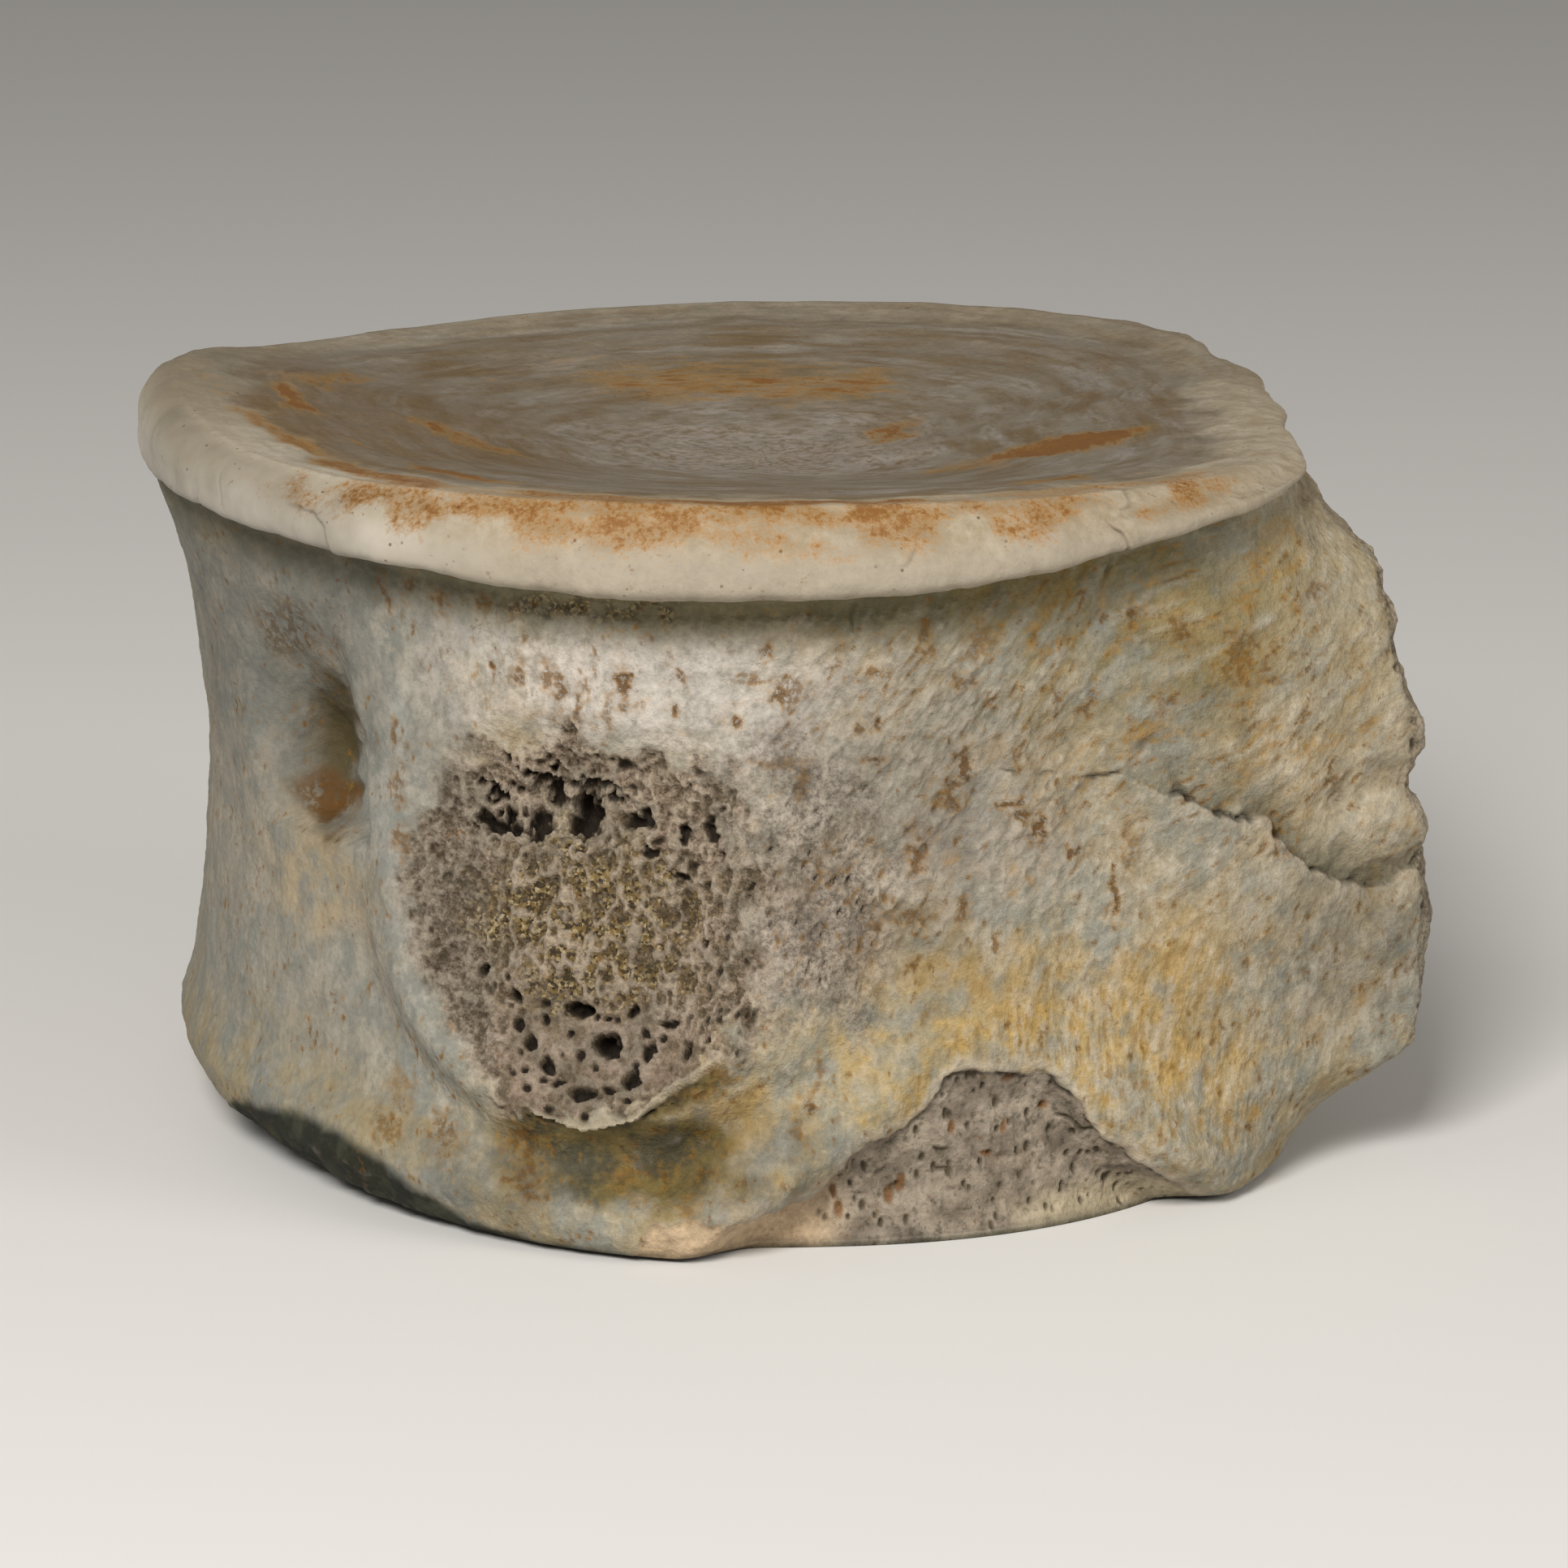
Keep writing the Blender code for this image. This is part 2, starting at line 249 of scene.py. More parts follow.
# The broken feet of the arch beside the canal: how far each stands out, by turn, and the
# heights between which it rises from the foot and sinks below the rim
STUB_FLANK = 48.8 * MM
STUB_SHARES = ((0, 1.00), (31, 1.00), (40, 0.55), (52, 0.18), (68, 0.00))
STUB_END_TURN = 60
STUB_LOW, STUB_LOW_FULL = 0.5 * MM, 8 * MM
STUB_HIGH, STUB_HIGH_FULL = 46.5 * MM, 36 * MM
FAR_STUB_DOWN, FAR_STUB_SHORT = 3.0 * MM, 1.3 * MM  # the far one broke lower and shorter

# The broken ends: height above the floor, distance back from the axis, in millimetres
STUB_ENDS = (
    (1.0, 33.4), (4.7, 35.6), (8.7, 41.0), (16.0, 41.7), (21.6, 41.2), (24.6, 39.8), (27.0, 40.4),
    (34.0, 38.6), (40.0, 37.2), (42.6, 35.0), (46.0, 33.0),
)

# The scar on each flank where a rib joined: a shallow bowl on a low mound
FACET_X, FACET_Z = -14.2 * MM, 21.0 * MM
FACET_HALF_X, FACET_HALF_Z = 11.0 * MM, 12.6 * MM
FACET_BOWL = 1.7 * MM    # depth of the scar's hollow inside its rim
FACET_SQUARER = 1.5      # how much squarer its upper half is than an ellipse
FACET_RIM, FACET_FALL, FACET_FALL_BACK = 0.95, 1.30, 0.50  # as shares of its half size

# The scar's surface: height from its middle as a share of its half, inset in millimetres
FACET_LEVELS = ((-1.4, 0.6), (-1.0, 0.9), (0.0, 3.2), (1.0, 4.9), (1.4, 5.2))

# Two dents of the scar: the row of holes near its top, which broke into one trench, and
# the flank that lies back under its lower lip
TRENCH_X, TRENCH_Z, TRENCH_DEPTH = -15.6 * MM, 26.8 * MM, 1.8 * MM
TRENCH_HALF_X, TRENCH_HALF_Z = 6.6 * MM, 2.4 * MM
UNDER_X, UNDER_Z, UNDER_DEPTH = -12.4 * MM, 5.4 * MM, 1.2 * MM
UNDER_HALF_X, UNDER_HALF_Z = 9.0 * MM, 3.9 * MM

# A vessel's hole beside the scar: a groove whose depth grows towards its lower end
HOLE_X, HOLE_TOP, HOLE_END = -29.8 * MM, 36.0 * MM, 24.0 * MM
HOLE_LEAN = 1.8 * MM     # how much further towards the belly its top is
HOLE_HALF_BACK, HOLE_HALF_BELLY = 2.9 * MM, 4.2 * MM
HOLE_DEPTH = 4.3 * MM
HOLE_DEPTHS = ((-0.2, 0.0), (0.2, 0.35), (0.75, 1.0), (1.0, 0.8), (1.12, 0.0))
FAR_BACK, FAR_UP = 1.4 * MM, 1.1 * MM  # the far side's scar and hole sit a little off

# The chip out of the lower rim: its upper edge as distance back from the axis, height
CHIP_EDGE = (
    (-11.0, -3.0), (-4.0, 2.6), (0.0, 5.4), (4.5, 8.6), (8.5, 12.0), (14.5, 11.0), (17.5, 7.6),
    (21.0, 5.4), (25.0, 1.8), (29.0, -3.0),
)
CHIP_INSET = 5.2 * MM
CHIP_ABOVE, CHIP_BELOW = 1.8 * MM, 3.0 * MM  # from its edge, where its slope starts and ends

# Sines of the turn between which a flank's features begin and are whole
FLANK_FROM, FLANK_FULL = 0.05, 0.35
print("the rib's scar is", round(2 * FACET_HALF_X / MM), "by", round(2 * FACET_HALF_Z / MM), "mm")

# %% [markdown]
# ## Functions that bend a grid into the bone
# A sculptor would start from a cylinder and push it about. Here each feature is a function that
# says how far the skin stands out at a turn and a ring. Functions can be asked for as many
# points as a finish needs, and a feature can be moved by changing one number. A few soft steps
# and curves come first, since all features are made of them.

# %% Soft steps and curves
def ramp(low, high, value):
    """0 at low, 1 at high, with a smooth step between; low may be the larger."""
    t = np.clip((value - low) / (high - low), 0, 1)
    return t * t * (3 - 2 * t)


def hump(value, half):
    """1 at 0, falling smoothly to 0 at half on either side."""
    t = np.clip(1 - (value / half) ** 2, 0, 1)
    return t * t


def smaller(a, b, power=16):
    """The smaller of two distances, rounded where they cross."""
    return a * (1 + (a / b) ** power) ** (-1 / power)


def away(turn, degrees):
    """Angle between each turn and a direction in degrees, signed, in degrees."""
    return (np.degrees(turn) - degrees + 180) % 360 - 180


def through(stops, at):
    """A smooth curve through the stops, pairs of place and value, level past the ends."""
    places, values = np.array(stops, float).T
    at = np.clip(at, places[0], places[-1])
    step = np.diff(places)
    slope = np.diff(values) / step
    product = slope[:-1] * slope[1:]
    total = np.where(product > 0, slope[:-1] + slope[1:], 1)
    inner = np.where(product > 0, 2 * product / total, 0)
    slopes = np.concatenate([slope[:1], inner, slope[-1:]])
    i = np.clip(np.searchsorted(places, at, side="right") - 1, 0, len(step) - 1)
    u, h = (at - places[i]) / step[i], step[i]
    start, end = values[i] * (1 + 2 * u) * (1 - u) ** 2, values[i + 1] * u * u * (3 - 2 * u)
    return start + end + h * u * (1 - u) * (slopes[i] * (1 - u) - slopes[i + 1] * u)


print("a lip at 95 degrees has", round(float(through(LIP_SHARES, 95)), 2), "of its full thickness")


# %% [markdown]
# ## The spool and its broken back
# The wall of the spool is a straight line between the two rims, from which the rings are set in.
# The canal and the feet of the arch are blended over it, so that no crease shows where they
# begin.

# %% The spool as functions
def outline(turn, belly, back, side):
    """Distance from the axis to a joint face's outline, flattened over the canal."""
    along, across = np.cos(turn), np.abs(np.sin(turn))
    half = np.where(along < 0, belly, back)
    power = OUTLINE_POWER
    free = (np.abs(along / half) ** power + (across / side) ** power) ** (-1 / power)
    far = ramp(*CANAL_FLAT_TURNS, away(turn, 0))
    flat = CANAL_FLAT + (CANAL_FLAT_FAR - CANAL_FLAT) * far
    return smaller(free, flat / np.maximum(along, 0.05))


def plain_wall(turn, height):
    """The straight line between the outlines of the two rims."""
    upper = outline(turn, UPPER_BELLY, UPPER_BACK, UPPER_SIDE)
    foot = outline(turn, FOOT_BELLY, FOOT_BACK, FOOT_SIDE)
    return foot + (upper - foot) * np.clip(height / LENGTH, 0, 1)


def spool(turn, ring):
    """Distance from the axis and height of the plain spool's wall."""
    rings, heights, flank, belly, back = np.array(WALL).T
    height = through(np.stack([rings, heights], -1), ring) * MM
    reach = plain_wall(turn, height)
    on_belly = ramp(BELLY_FROM, BELLY_FULL, np.cos(turn))
    on_back = ramp(BACK_FROM, BACK_FULL, np.cos(turn))
    shares = (1 - on_belly - on_back, on_belly, on_back)
    for inset, share in zip((flank, belly, back), shares):
        reach = reach - through(np.stack([rings, inset], -1), ring) * MM * share

    lip = through(LIP_SHARES, np.abs(away(turn, 0)))
    below = LENGTH - height
    up = height / LENGTH
    height = LENGTH - below * (lip + (1 - lip) * ramp(LIP_ENDS, LIP_LOST, below))
    for where, half, rise in CREST_SWELLS:
        height = height + rise * hump(away(turn, where), half) * up ** 3
    return reach, height


def arch_feet(turn, reach, height):
    """The two broken feet of the arch, with the canal between them."""
    side, far = np.abs(away(turn, 0)), np.sin(turn) > 0
    tall = ramp(STUB_LOW, STUB_LOW_FULL, height) * ramp(STUB_HIGH, STUB_HIGH_FULL, height)
    flank = reach + (STUB_FLANK - reach) * through(STUB_SHARES, side) * tall
    straight = np.cos(np.radians(np.minimum(side, STUB_END_TURN)))
    level = height + np.where(far, FAR_STUB_DOWN * tall, 0)
    ends = through(STUB_ENDS, level / MM) * MM - np.where(far, FAR_STUB_SHORT * tall, 0)
    foot = smaller(flank, ends / straight, 60)

    canal = reach + (CANAL_FLOOR / straight - reach) * tall
    mouth = (2 * height / LENGTH - 1) ** 2
    canal_side = CANAL_WAIST + (CANAL_MOUTH - CANAL_WAIST) * mouth
    foot = canal + (foot - canal) * ramp(0.25, 1.25, side / canal_side)
    return reach + (foot - reach) * ramp(STUB_SHARES[-1][0], STUB_END_TURN, side)


waist = spool(math.radians(-90), 26)[0]
print("the waist is", round(float(waist) / MM, 1), "mm from the axis on the flank")

# %% [markdown]
# ## The features of the flank
# Each function says how deep or how high its feature is at a distance back from the axis and a
# height. The last one adds them up and closes the spool with its two dishes.

# %% The features as functions
def on_scar(x, height):
    """Place on the rib's scar, across and up, and how far out it is, 1 being its border."""
    across = (x - FACET_X) / FACET_HALF_X
    up = (height - FACET_Z) / FACET_HALF_Z
    power = 2 + FACET_SQUARER * ramp(0, 0.8, up)
    return across, up, (np.abs(across) ** power + np.abs(up) ** power) ** (1 / power)


def facet(x, height, inset):
    """How far the rib's scar stands out of the flank."""
    across, up, out = on_scar(x, height)
    mound = np.maximum(inset - through(FACET_LEVELS, up) * MM, 0)
    fall = FACET_FALL + FACET_FALL_BACK * ramp(-0.2, 0.8, across) * ramp(-1.1, -0.4, up)
    return mound * ramp(fall, FACET_RIM, out) - FACET_BOWL * ramp(1.02, 0.62, out)


def scar_dents(x, height):
    """Depth of the trench of holes in the scar, and of the hollow below the scar."""
    trench = np.hypot((x - TRENCH_X) / TRENCH_HALF_X, (height - TRENCH_Z) / TRENCH_HALF_Z)
    under = np.hypot((x - UNDER_X) / UNDER_HALF_X, (height - UNDER_Z) / UNDER_HALF_Z)
    return TRENCH_DEPTH * hump(trench, 1) + UNDER_DEPTH * hump(under, 1)


def vessel_hole(x, height):
    """Depth of the groove that leads to a vessel's hole, deepest at its lower end."""
    along = (HOLE_TOP - height) / (HOLE_TOP - HOLE_END)
    from_middle = x - HOLE_X + HOLE_LEAN * np.clip(1 - along, 0, 1)
    half = np.where(from_middle > 0, HOLE_HALF_BACK, HOLE_HALF_BELLY)
    return HOLE_DEPTH * through(HOLE_DEPTHS, along) * ramp(1.1, 0.3, np.abs(from_middle) / half)


def chip(x, height, inset):
    """How far the broken surface lies behind the whole one."""
    under = through(CHIP_EDGE, x / MM) * MM - height
    return np.maximum(CHIP_INSET - inset, 0) * ramp(-CHIP_ABOVE, CHIP_BELOW, under)


def worn_foot(turn, height):
    """How far the worn slope under the lower rim goes in."""
    slope = np.clip(1 - height / WORN_UP, 0, 1) ** 1.3
    return WORN_IN * hump(away(turn, WORN_TURN), WORN_HALF) * slope


def flanks_at(turn):
    """How much of the near and of the far flank's features there is at each turn."""
    return [ramp(FLANK_FROM, FLANK_FULL, side * np.sin(turn)) for side in (-1, 1)]


def skin(turn, ring):
    """The point of the bone's skin at each meridian and ring."""
    reach, height = spool(turn, np.clip(ring, CREST_RING, FOOT_RING))
    inset = plain_wall(turn, height) - reach
    x = reach * np.cos(turn)
    near, far = flanks_at(turn)
    scar = x - FAR_BACK * far, height - FAR_UP * far
    stands_out = facet(*scar, inset) - scar_dents(*scar) - vessel_hole(*scar)
    reach = reach + stands_out * (near + far)
    reach = reach - chip(x, height, inset) * near - worn_foot(turn, height)
    reach = arch_feet(turn, reach, height)

    above, below = ring < CREST_RING, ring > FOOT_RING
    share = np.where(above, ring / CREST_RING, 1.0)
    share = np.where(below, (RINGS - ring) / (RINGS - FOOT_RING), share)
    bell = (1 + np.cos(math.pi * share)) / 2
    dish = DISH_ROUND * (1 - share ** 2) + (1 - DISH_ROUND) * bell
    height = np.where(above, LENGTH + (height - LENGTH) * share ** 2, height)
    height = height - UPPER_DISH * dish * above + LOWER_DISH * dish * below
    return np.stack([reach * share * np.cos(turn), reach * share * np.sin(turn), height], -1)


print("the middle of the upper face is", np.round(skin(0.0, 0)[2] / MM, 1), "mm up")

# %% [markdown]
# ## A grid fine enough to break
# Pores of half a millimetre need points about 0.15 mm apart on the side that is looked at. The
# far side gets by with fewer. The rings are spread by the length of the wall's profile, so that
# the lip isn't crowded while the flank is thin.

# %% Grid
FINENESS = 1.0
NEAR_STEP, FAR_STEP = 0.13, 0.34            # mm between meridians, on each side
NEAR_HALF, NEAR_EDGE = 66, 84               # degrees from the near side's middle
WALL_STEP, DISH_STEP, UNDER_STEP = 0.15, 0.26, 1.1   # mm between rings
MM_PER_DEGREE = 0.75                        # on a wall about 43 mm from the axis
PROFILE_TURNS = (-150, -120, -90, -60, 90, 170)      # where the profile's length is measured


def sums_so_far(values):
    """0, then the sum up to each value."""
    return np.concatenate([[0], np.cumsum(values)])


def spread(low, high, step, fineness):
    """Places from low up to high, spaced as the function step says, without high itself."""
    probe = np.linspace(low, high, 4001)
    middle = (probe[1:] + probe[:-1]) / 2
    count = sums_so_far(np.diff(probe) / step(middle)) * fineness
    total = round(count[-1])
    return np.interp(np.arange(total) / total * count[-1], count, probe)


def meridian_step(degrees):
    far = ramp(NEAR_HALF, NEAR_EDGE, np.abs((degrees + 90 + 180) % 360 - 180))
    return (NEAR_STEP + (FAR_STEP - NEAR_STEP) * far) / MM_PER_DEGREE


def ring_lengths(rings):
    """Length of the profile from the first ring to each, averaged over some meridians."""
    profile = skin(np.radians(PROFILE_TURNS)[None, :], rings[:, None]) / MM
    return sums_so_far(np.linalg.norm(np.diff(profile, axis=0), axis=-1).mean(1))


def spread_rings(low, high, step):
    probe = np.linspace(low, high, 801)
    length = ring_lengths(probe)
    total = max(round(length[-1] / step * FINENESS), 4)
    return np.interp(np.arange(total) / total * length[-1], length, probe)


turns = np.radians(spread(-180, 180, meridian_step, FINENESS))
rings = np.concatenate([
    spread_rings(0, CREST_RING, DISH_STEP)[1:],
    spread_rings(CREST_RING, FOOT_RING, WALL_STEP),
    spread_rings(FOOT_RING, RINGS, UNDER_STEP),
])
turn, ring = (grid.copy() for grid in np.meshgrid(turns, rings))
smooth = skin(turn, ring) / MM
middle = (smooth.reshape(-1, 3).min(0) + smooth.reshape(-1, 3).max(0)) / 2
smooth[..., :2] -= middle[:2]
x, y, z = np.moveaxis(smooth, -1, 0)
degrees = np.degrees(turn)
print("grid of", *ring.shape, "points, box", np.round(np.ptp(smooth.reshape(-1, 3), axis=0), 1))

# %% [markdown]
# ## Noise that repeats itself at every run
# Weathering looks random but has a grain size and a direction. A hash of each cell of a lattice
# gives numbers that are always the same. From them come gradient noise, its sum over finer and
# finer sizes, and scattered cells, which serve for pores and grains. Random numbers drawn in
# order would change with every change of the grid, so they aren't used. In each call the places
# are divided by the size of the features, and the number after them is the seed.

# %% Noise
SLOPES = np.array([s for s in np.ndindex(3, 3, 3) if sum(n != 1 for n in s) == 2], np.float32) - 1
MIXERS = (0x8DA6B343, 0xD8163841, 0xCB1AB31F, 0x9E3779B9)


def scramble(cell, seed):
    """A number from 0 to 1 for each cell of a lattice."""
    parts = [cell[..., n].astype(np.uint32) * np.uint32(MIXERS[n]) for n in range(3)]
    n = parts[0] ^ parts[1] ^ parts[2] ^ np.uint32(seed * MIXERS[3] & 0xFFFFFFFF)
    for shift, mixer in ((15, 0x2C1B3C6D), (12, 0x297A2D39)):
        n = (n ^ (n >> np.uint32(shift))) * np.uint32(mixer)
    return (n ^ (n >> np.uint32(15))).astype(np.float32) / 2 ** 32


def noise(places, seed):
    """Gradient noise, about -1 to 1, with features one unit across."""
    cell = np.floor(places).astype(np.int64)
    inside = (places - cell).astype(np.float32)
    fade = inside ** 3 * (inside * (inside * 6 - 15) + 10)
    total = 0
    for corner in np.ndindex(2, 2, 2):
        corner = np.array(corner)
        slope = SLOPES[(scramble(cell + corner, seed) * len(SLOPES)).astype(np.int64)]
        share = np.prod(np.where(corner, fade, 1 - fade), -1)
        total = total + share * np.sum(slope * (inside - corner), -1)
    return total * 1.3


def clouds(places, seed, octaves=3, rest=0.5):
    """Noise with finer and weaker noise added."""
    total, size = 0, 1.0
    for octave in range(octaves):
        total = total + noise(places * 2.03 ** octave, seed + 17 * octave) * size
        size *= rest
    return total


def cells(places, seed):
    """Distance to the nearest of scattered seeds, and that seed's number from 0 to 1."""
    base = np.floor(places).astype(np.int64)
    nearest = np.full(places.shape[:-1], 9, np.float32)
    number = np.zeros_like(nearest)
    for step in np.ndindex(3, 3, 3):
        cell = base + np.array(step) - 1
        seeds = cell + np.stack([scramble(cell, seed + n) for n in range(3)], -1)
        gap = np.linalg.norm(places - seeds, axis=-1).astype(np.float32)
        closer = gap < nearest
        number = np.where(closer, scramble(cell, seed + 3), number)
        nearest = np.where(closer, gap, nearest)
    return nearest, number


def within(zone, pattern, places, *settings):
    """A pattern worked out only where a zone is, and 0 elsewhere, which saves most of the time."""
    chosen = zone > 0.01
    found = pattern(places[chosen], *settings)
    several = isinstance(found, tuple)
    grids = []
    for values in found if several else (found,):
        grid = np.zeros(zone.shape, np.float32)
        grid[chosen] = values
        grids.append(grid)
    return grids if several else grids[0]


place = smooth.astype(np.float32)
print("noise from", round(float(noise(place[::9, ::9] / 3, 1).min()), 2),
      "to", round(float(noise(place[::9, ::9] / 3, 1).max()), 2))

# %% [markdown]
# ## Grain of the bone
# Bone is laid down in fibres. On the flank they run up from the foot and lean over towards the
# back as they climb, on the joint face they run in rings. Two sets of coordinates follow them.
# Noise that is stretched along these coordinates gives streaks, here and later in the finish.

# %% Grain
# How far the fibres have leant over at each height, and on which part of the flank they do
LEAN = ((0, 0.0), (14, 0.5), (20, 2.0), (28, 6.5), (36, 12.0), (44, 18.0))   # mm, mm
LEANING = ((-12, 0.0), (-2, 1.0), (40, 1.0))                                 # x in mm, share
BACK_LEAN, BACK_LEANING = 0.22, (18.0, 32.0)   # more of it per mm of height, towards the back
WALL_REACH = 42                   # mm from the axis, which turns a lean in mm into an angle
STRETCH = 3.6                     # how much longer than wide a streak is
RING_TURNS, RING_SHARES = 5.0, 34.0   # noise cells round the face, and from centre to rim
RIM_HEIGHT = 45                   # mm, below which the rings go on down the wall

near, far_side = flanks_at(turn)
share = np.where(ring < CREST_RING, ring / CREST_RING, 1.0)
on_face = ramp(CREST_RING + 0.5, CREST_RING - 0.3, ring)
on_wall = ramp(CREST_RING - 0.2, CREST_RING + 1.0, ring) * ramp(FOOT_RING + 0.5, FOOT_RING, ring)
leant = through(LEAN, z) * through(LEANING, x) + BACK_LEAN * z * ramp(*BACK_LEANING, x)
leant = -leant / WALL_REACH * ramp(0.1, -0.3, np.sin(turn))
fibre = np.stack([
    x * np.cos(leant) - y * np.sin(leant), x * np.sin(leant) + y * np.cos(leant), z / STRETCH,
], -1).astype(np.float32)
ringwise = np.stack([
    np.cos(turn) * RING_TURNS, np.sin(turn) * RING_TURNS,
    share * RING_SHARES + (RIM_HEIGHT - z) * on_wall,
], -1).astype(np.float32)
relief = np.zeros_like(x)          # mm, out along the skin
masks = {}
print("fibres lean by up to", round(float(np.degrees(-leant.min())), 1), "degrees")

# %% [markdown]
# ## The joint face and its lip
# The joint face carries faint rings, where cartilage ended and grew. Its rim is a thick lip with
# a rolled edge, undercut below, slightly nicked by wear and crossed by a few cracks. Rings are
# streaks in the ringwise coordinates. The undercut and the nicks are sums on top of the smooth
# skin, and they are strongest where the lip is thick.

# %% Face and lip
UNDERCUT, UNDERCUT_RING, UNDERCUT_HALF = 0.45, 14.9, 1.4   # mm, ring, rings
UNDERLIP_RING, UNDERLIP_HALF = 15.6, 2.6
EDGE_OUT, EDGE_RING, EDGE_HALF = 0.35, 13.1, 1.1
BEVEL_IN, BEVEL_RING, BEVEL_HALF = 0.55, 10.6, 1.9
NICK_DEPTH, NICK_SIZE = 0.10, 2.2
FACE_RINGS, FACE_ROUGH = 0.05, 0.10
BELLY_TURN = -175                        # where the belly side faces, in degrees
# Share of the way out, half width as a share, and rise in mm
GROWTH_RINGS = ((0.72, 0.03, -0.08), (0.80, 0.03, 0.10), (0.885, 0.02, -0.10))

lip = through(LIP_SHARES, np.abs(away(turn, 0)))
shown_rim = ramp(0.30, -0.15, np.sin(turn))
uneven = clouds(place / 4.1, 11, 3)
undercut = hump(ring - UNDERCUT_RING + 0.10 * uneven, UNDERCUT_HALF) * lip
edge = hump(ring - EDGE_RING + 0.05 * uneven, EDGE_HALF) * lip
bevel = hump(ring - BEVEL_RING, BEVEL_HALF) * ramp(-0.45, -0.80, np.sin(turn))
nick = ramp(0.25, 0.85, noise(place / NICK_SIZE, 21) + 0.35 * noise(place / 1.1, 22)) * lip
nick = nick * hump(ring - EDGE_RING, 1.6)
relief += EDGE_OUT * edge - UNDERCUT * undercut - NICK_DEPTH * nick - BEVEL_IN * bevel

face_rings = noise(ringwise, 31) + 0.6 * noise(ringwise * 2.2, 32)
rim_near = ramp(0.45, 0.95, share) * on_face
relief += FACE_RINGS * face_rings * on_face * (0.35 + 0.9 * rim_near)
relief += FACE_ROUGH * clouds(place / 6.5, 33, 3) * on_face
for middle_share, half, rise in GROWTH_RINGS:
    relief += rise * hump(share - middle_share + 0.03 * uneven, 2 * half) * on_face
masks["rim"] = ramp(0.84, 0.99, share + 0.05 * uneven) * ramp(14.3, 13.5, ring + 0.1 * uneven)
masks["rim"] *= 0.3 + 0.7 * shown_rim
# The lip's lower edge, which gets a paler painted highlight
masks["rim_edge"] = ramp(10.6, 12.6, ring + 0.7 * uneven) * ramp(14.3, 13.5, ring)
masks["rim_edge"] *= (0.4 + 0.6 * lip) * shown_rim
past_crest = (1 - shown_rim) * ramp(12.5, 11.0, ring)
masks["face"] = np.where(ring < CREST_RING, 1 - masks["rim"], past_crest)
from_belly = away(turn, BELLY_TURN)
# The rim's left end, painted lighter where the lamp's light falls off
masks["rim_left"] = ramp(63, 41, from_belly) * ramp(-45, -12, from_belly)
# The band under the lip, which the finish paints olive, partly the bone's tint and partly painted
# shade
masks["underlip"] = hump(ring - UNDERLIP_RING, UNDERLIP_HALF) * lip
print("nicks take out", round(float((NICK_DEPTH * nick).max()), 2), "mm at most")

# %% [markdown]
# ## Marks along lines
# Cracks, ridges and broken edges are lines drawn on the bone. One function measures how far
# each point lies from such a line, on which side, and how far along. On the flank a line is
# given by distance back from the axis and height. Round the rim it is given by turn and height,
# which stays true where the wall curves away.

# %% Lines
def from_line(across, up, line):
    """Distance from a line of straight pieces, side of it, and share of the way along."""
    line = np.array(line, float)
    nearest = np.full(across.shape, 1e3)
    side, along = np.zeros(across.shape), np.zeros(across.shape)
    pieces = np.diff(line, axis=0)
    lengths = np.hypot(*pieces.T)
    starts = sums_so_far(lengths)
    for start, piece, length, begun in zip(line, pieces, lengths, starts):
        da, du = across - start[0], up - start[1]
        t = np.clip((da * piece[0] + du * piece[1]) / length ** 2, 0, 1)
        gap = np.hypot(da - t * piece[0], du - t * piece[1])
        closer = gap < nearest
        nearest = np.where(closer, gap, nearest)
        side = np.where(closer, np.sign(piece[0] * du - piece[1] * da), side)
        along = np.where(closer, (begun + t * length) / starts[-1], along)
    return nearest, side, along


wander = 0.35 * clouds(place / 1.7, 41, 2)
wander_up = 0.35 * clouds(place / 1.7, 43, 2)
round_mm = degrees * MM_PER_DEGREE
print("lines wander by", round(float(np.abs(wander).max()), 2), "mm")

# %% [markdown]
# ## The rib's scar
# A rib was joined here, and its scar is bare spongy bone. A fine-grained slope on the left leads
# down to a hollow. Near the top the bone broke off under a ragged ledge and left a row of deep
# holes, the middle is filled with sand, and the lowest third shows clean pores above a thin
# cream lip, which stands over the flank. The largest holes are placed one by one, since the eye
# knows them.

# %% The scar's lip and holes
SCAR_LIP = (
    (-18.4, 9.9), (-17.4, 8.9), (-14.3, 8.3), (-11.4, 9.0), (-9.5, 10.9), (-7.0, 12.3),
    (-5.0, 13.6),
)
# Distance back from the axis, height, half width, half height and depth, all in mm
CAVES = (
    (-19.2, 25.8, 1.3, 0.55, 1.9), (-16.8, 25.9, 0.9, 0.55, 1.8), (-14.0, 26.6, 0.8, 0.8, 2.2),
    (-13.6, 28.4, 1.2, 0.5, 1.3), (-16.2, 28.3, 0.8, 0.6, 1.3), (-15.6, 27.3, 0.5, 0.6, 1.2),
    (-17.3, 29.1, 0.4, 0.3, 0.9), (-19.3, 27.3, 0.6, 0.5, 1.2), (-20.3, 28.1, 0.3, 0.3, 0.8),
    (-10.9, 26.7, 0.9, 0.35, 1.1), (-12.3, 27.6, 0.6, 0.3, 0.9), (-7.9, 25.9, 0.35, 0.9, 1.0),
    (-6.4, 26.3, 0.28, 0.7, 0.7), (-5.7, 24.9, 0.2, 0.5, 0.6), (-8.1, 23.4, 0.7, 0.3, 0.6),
    (-10.1, 24.9, 0.5, 0.3, 0.6), (-18.6, 30.1, 0.25, 0.3, 0.6), (-16.0, 29.6, 0.4, 0.2, 0.6),
)
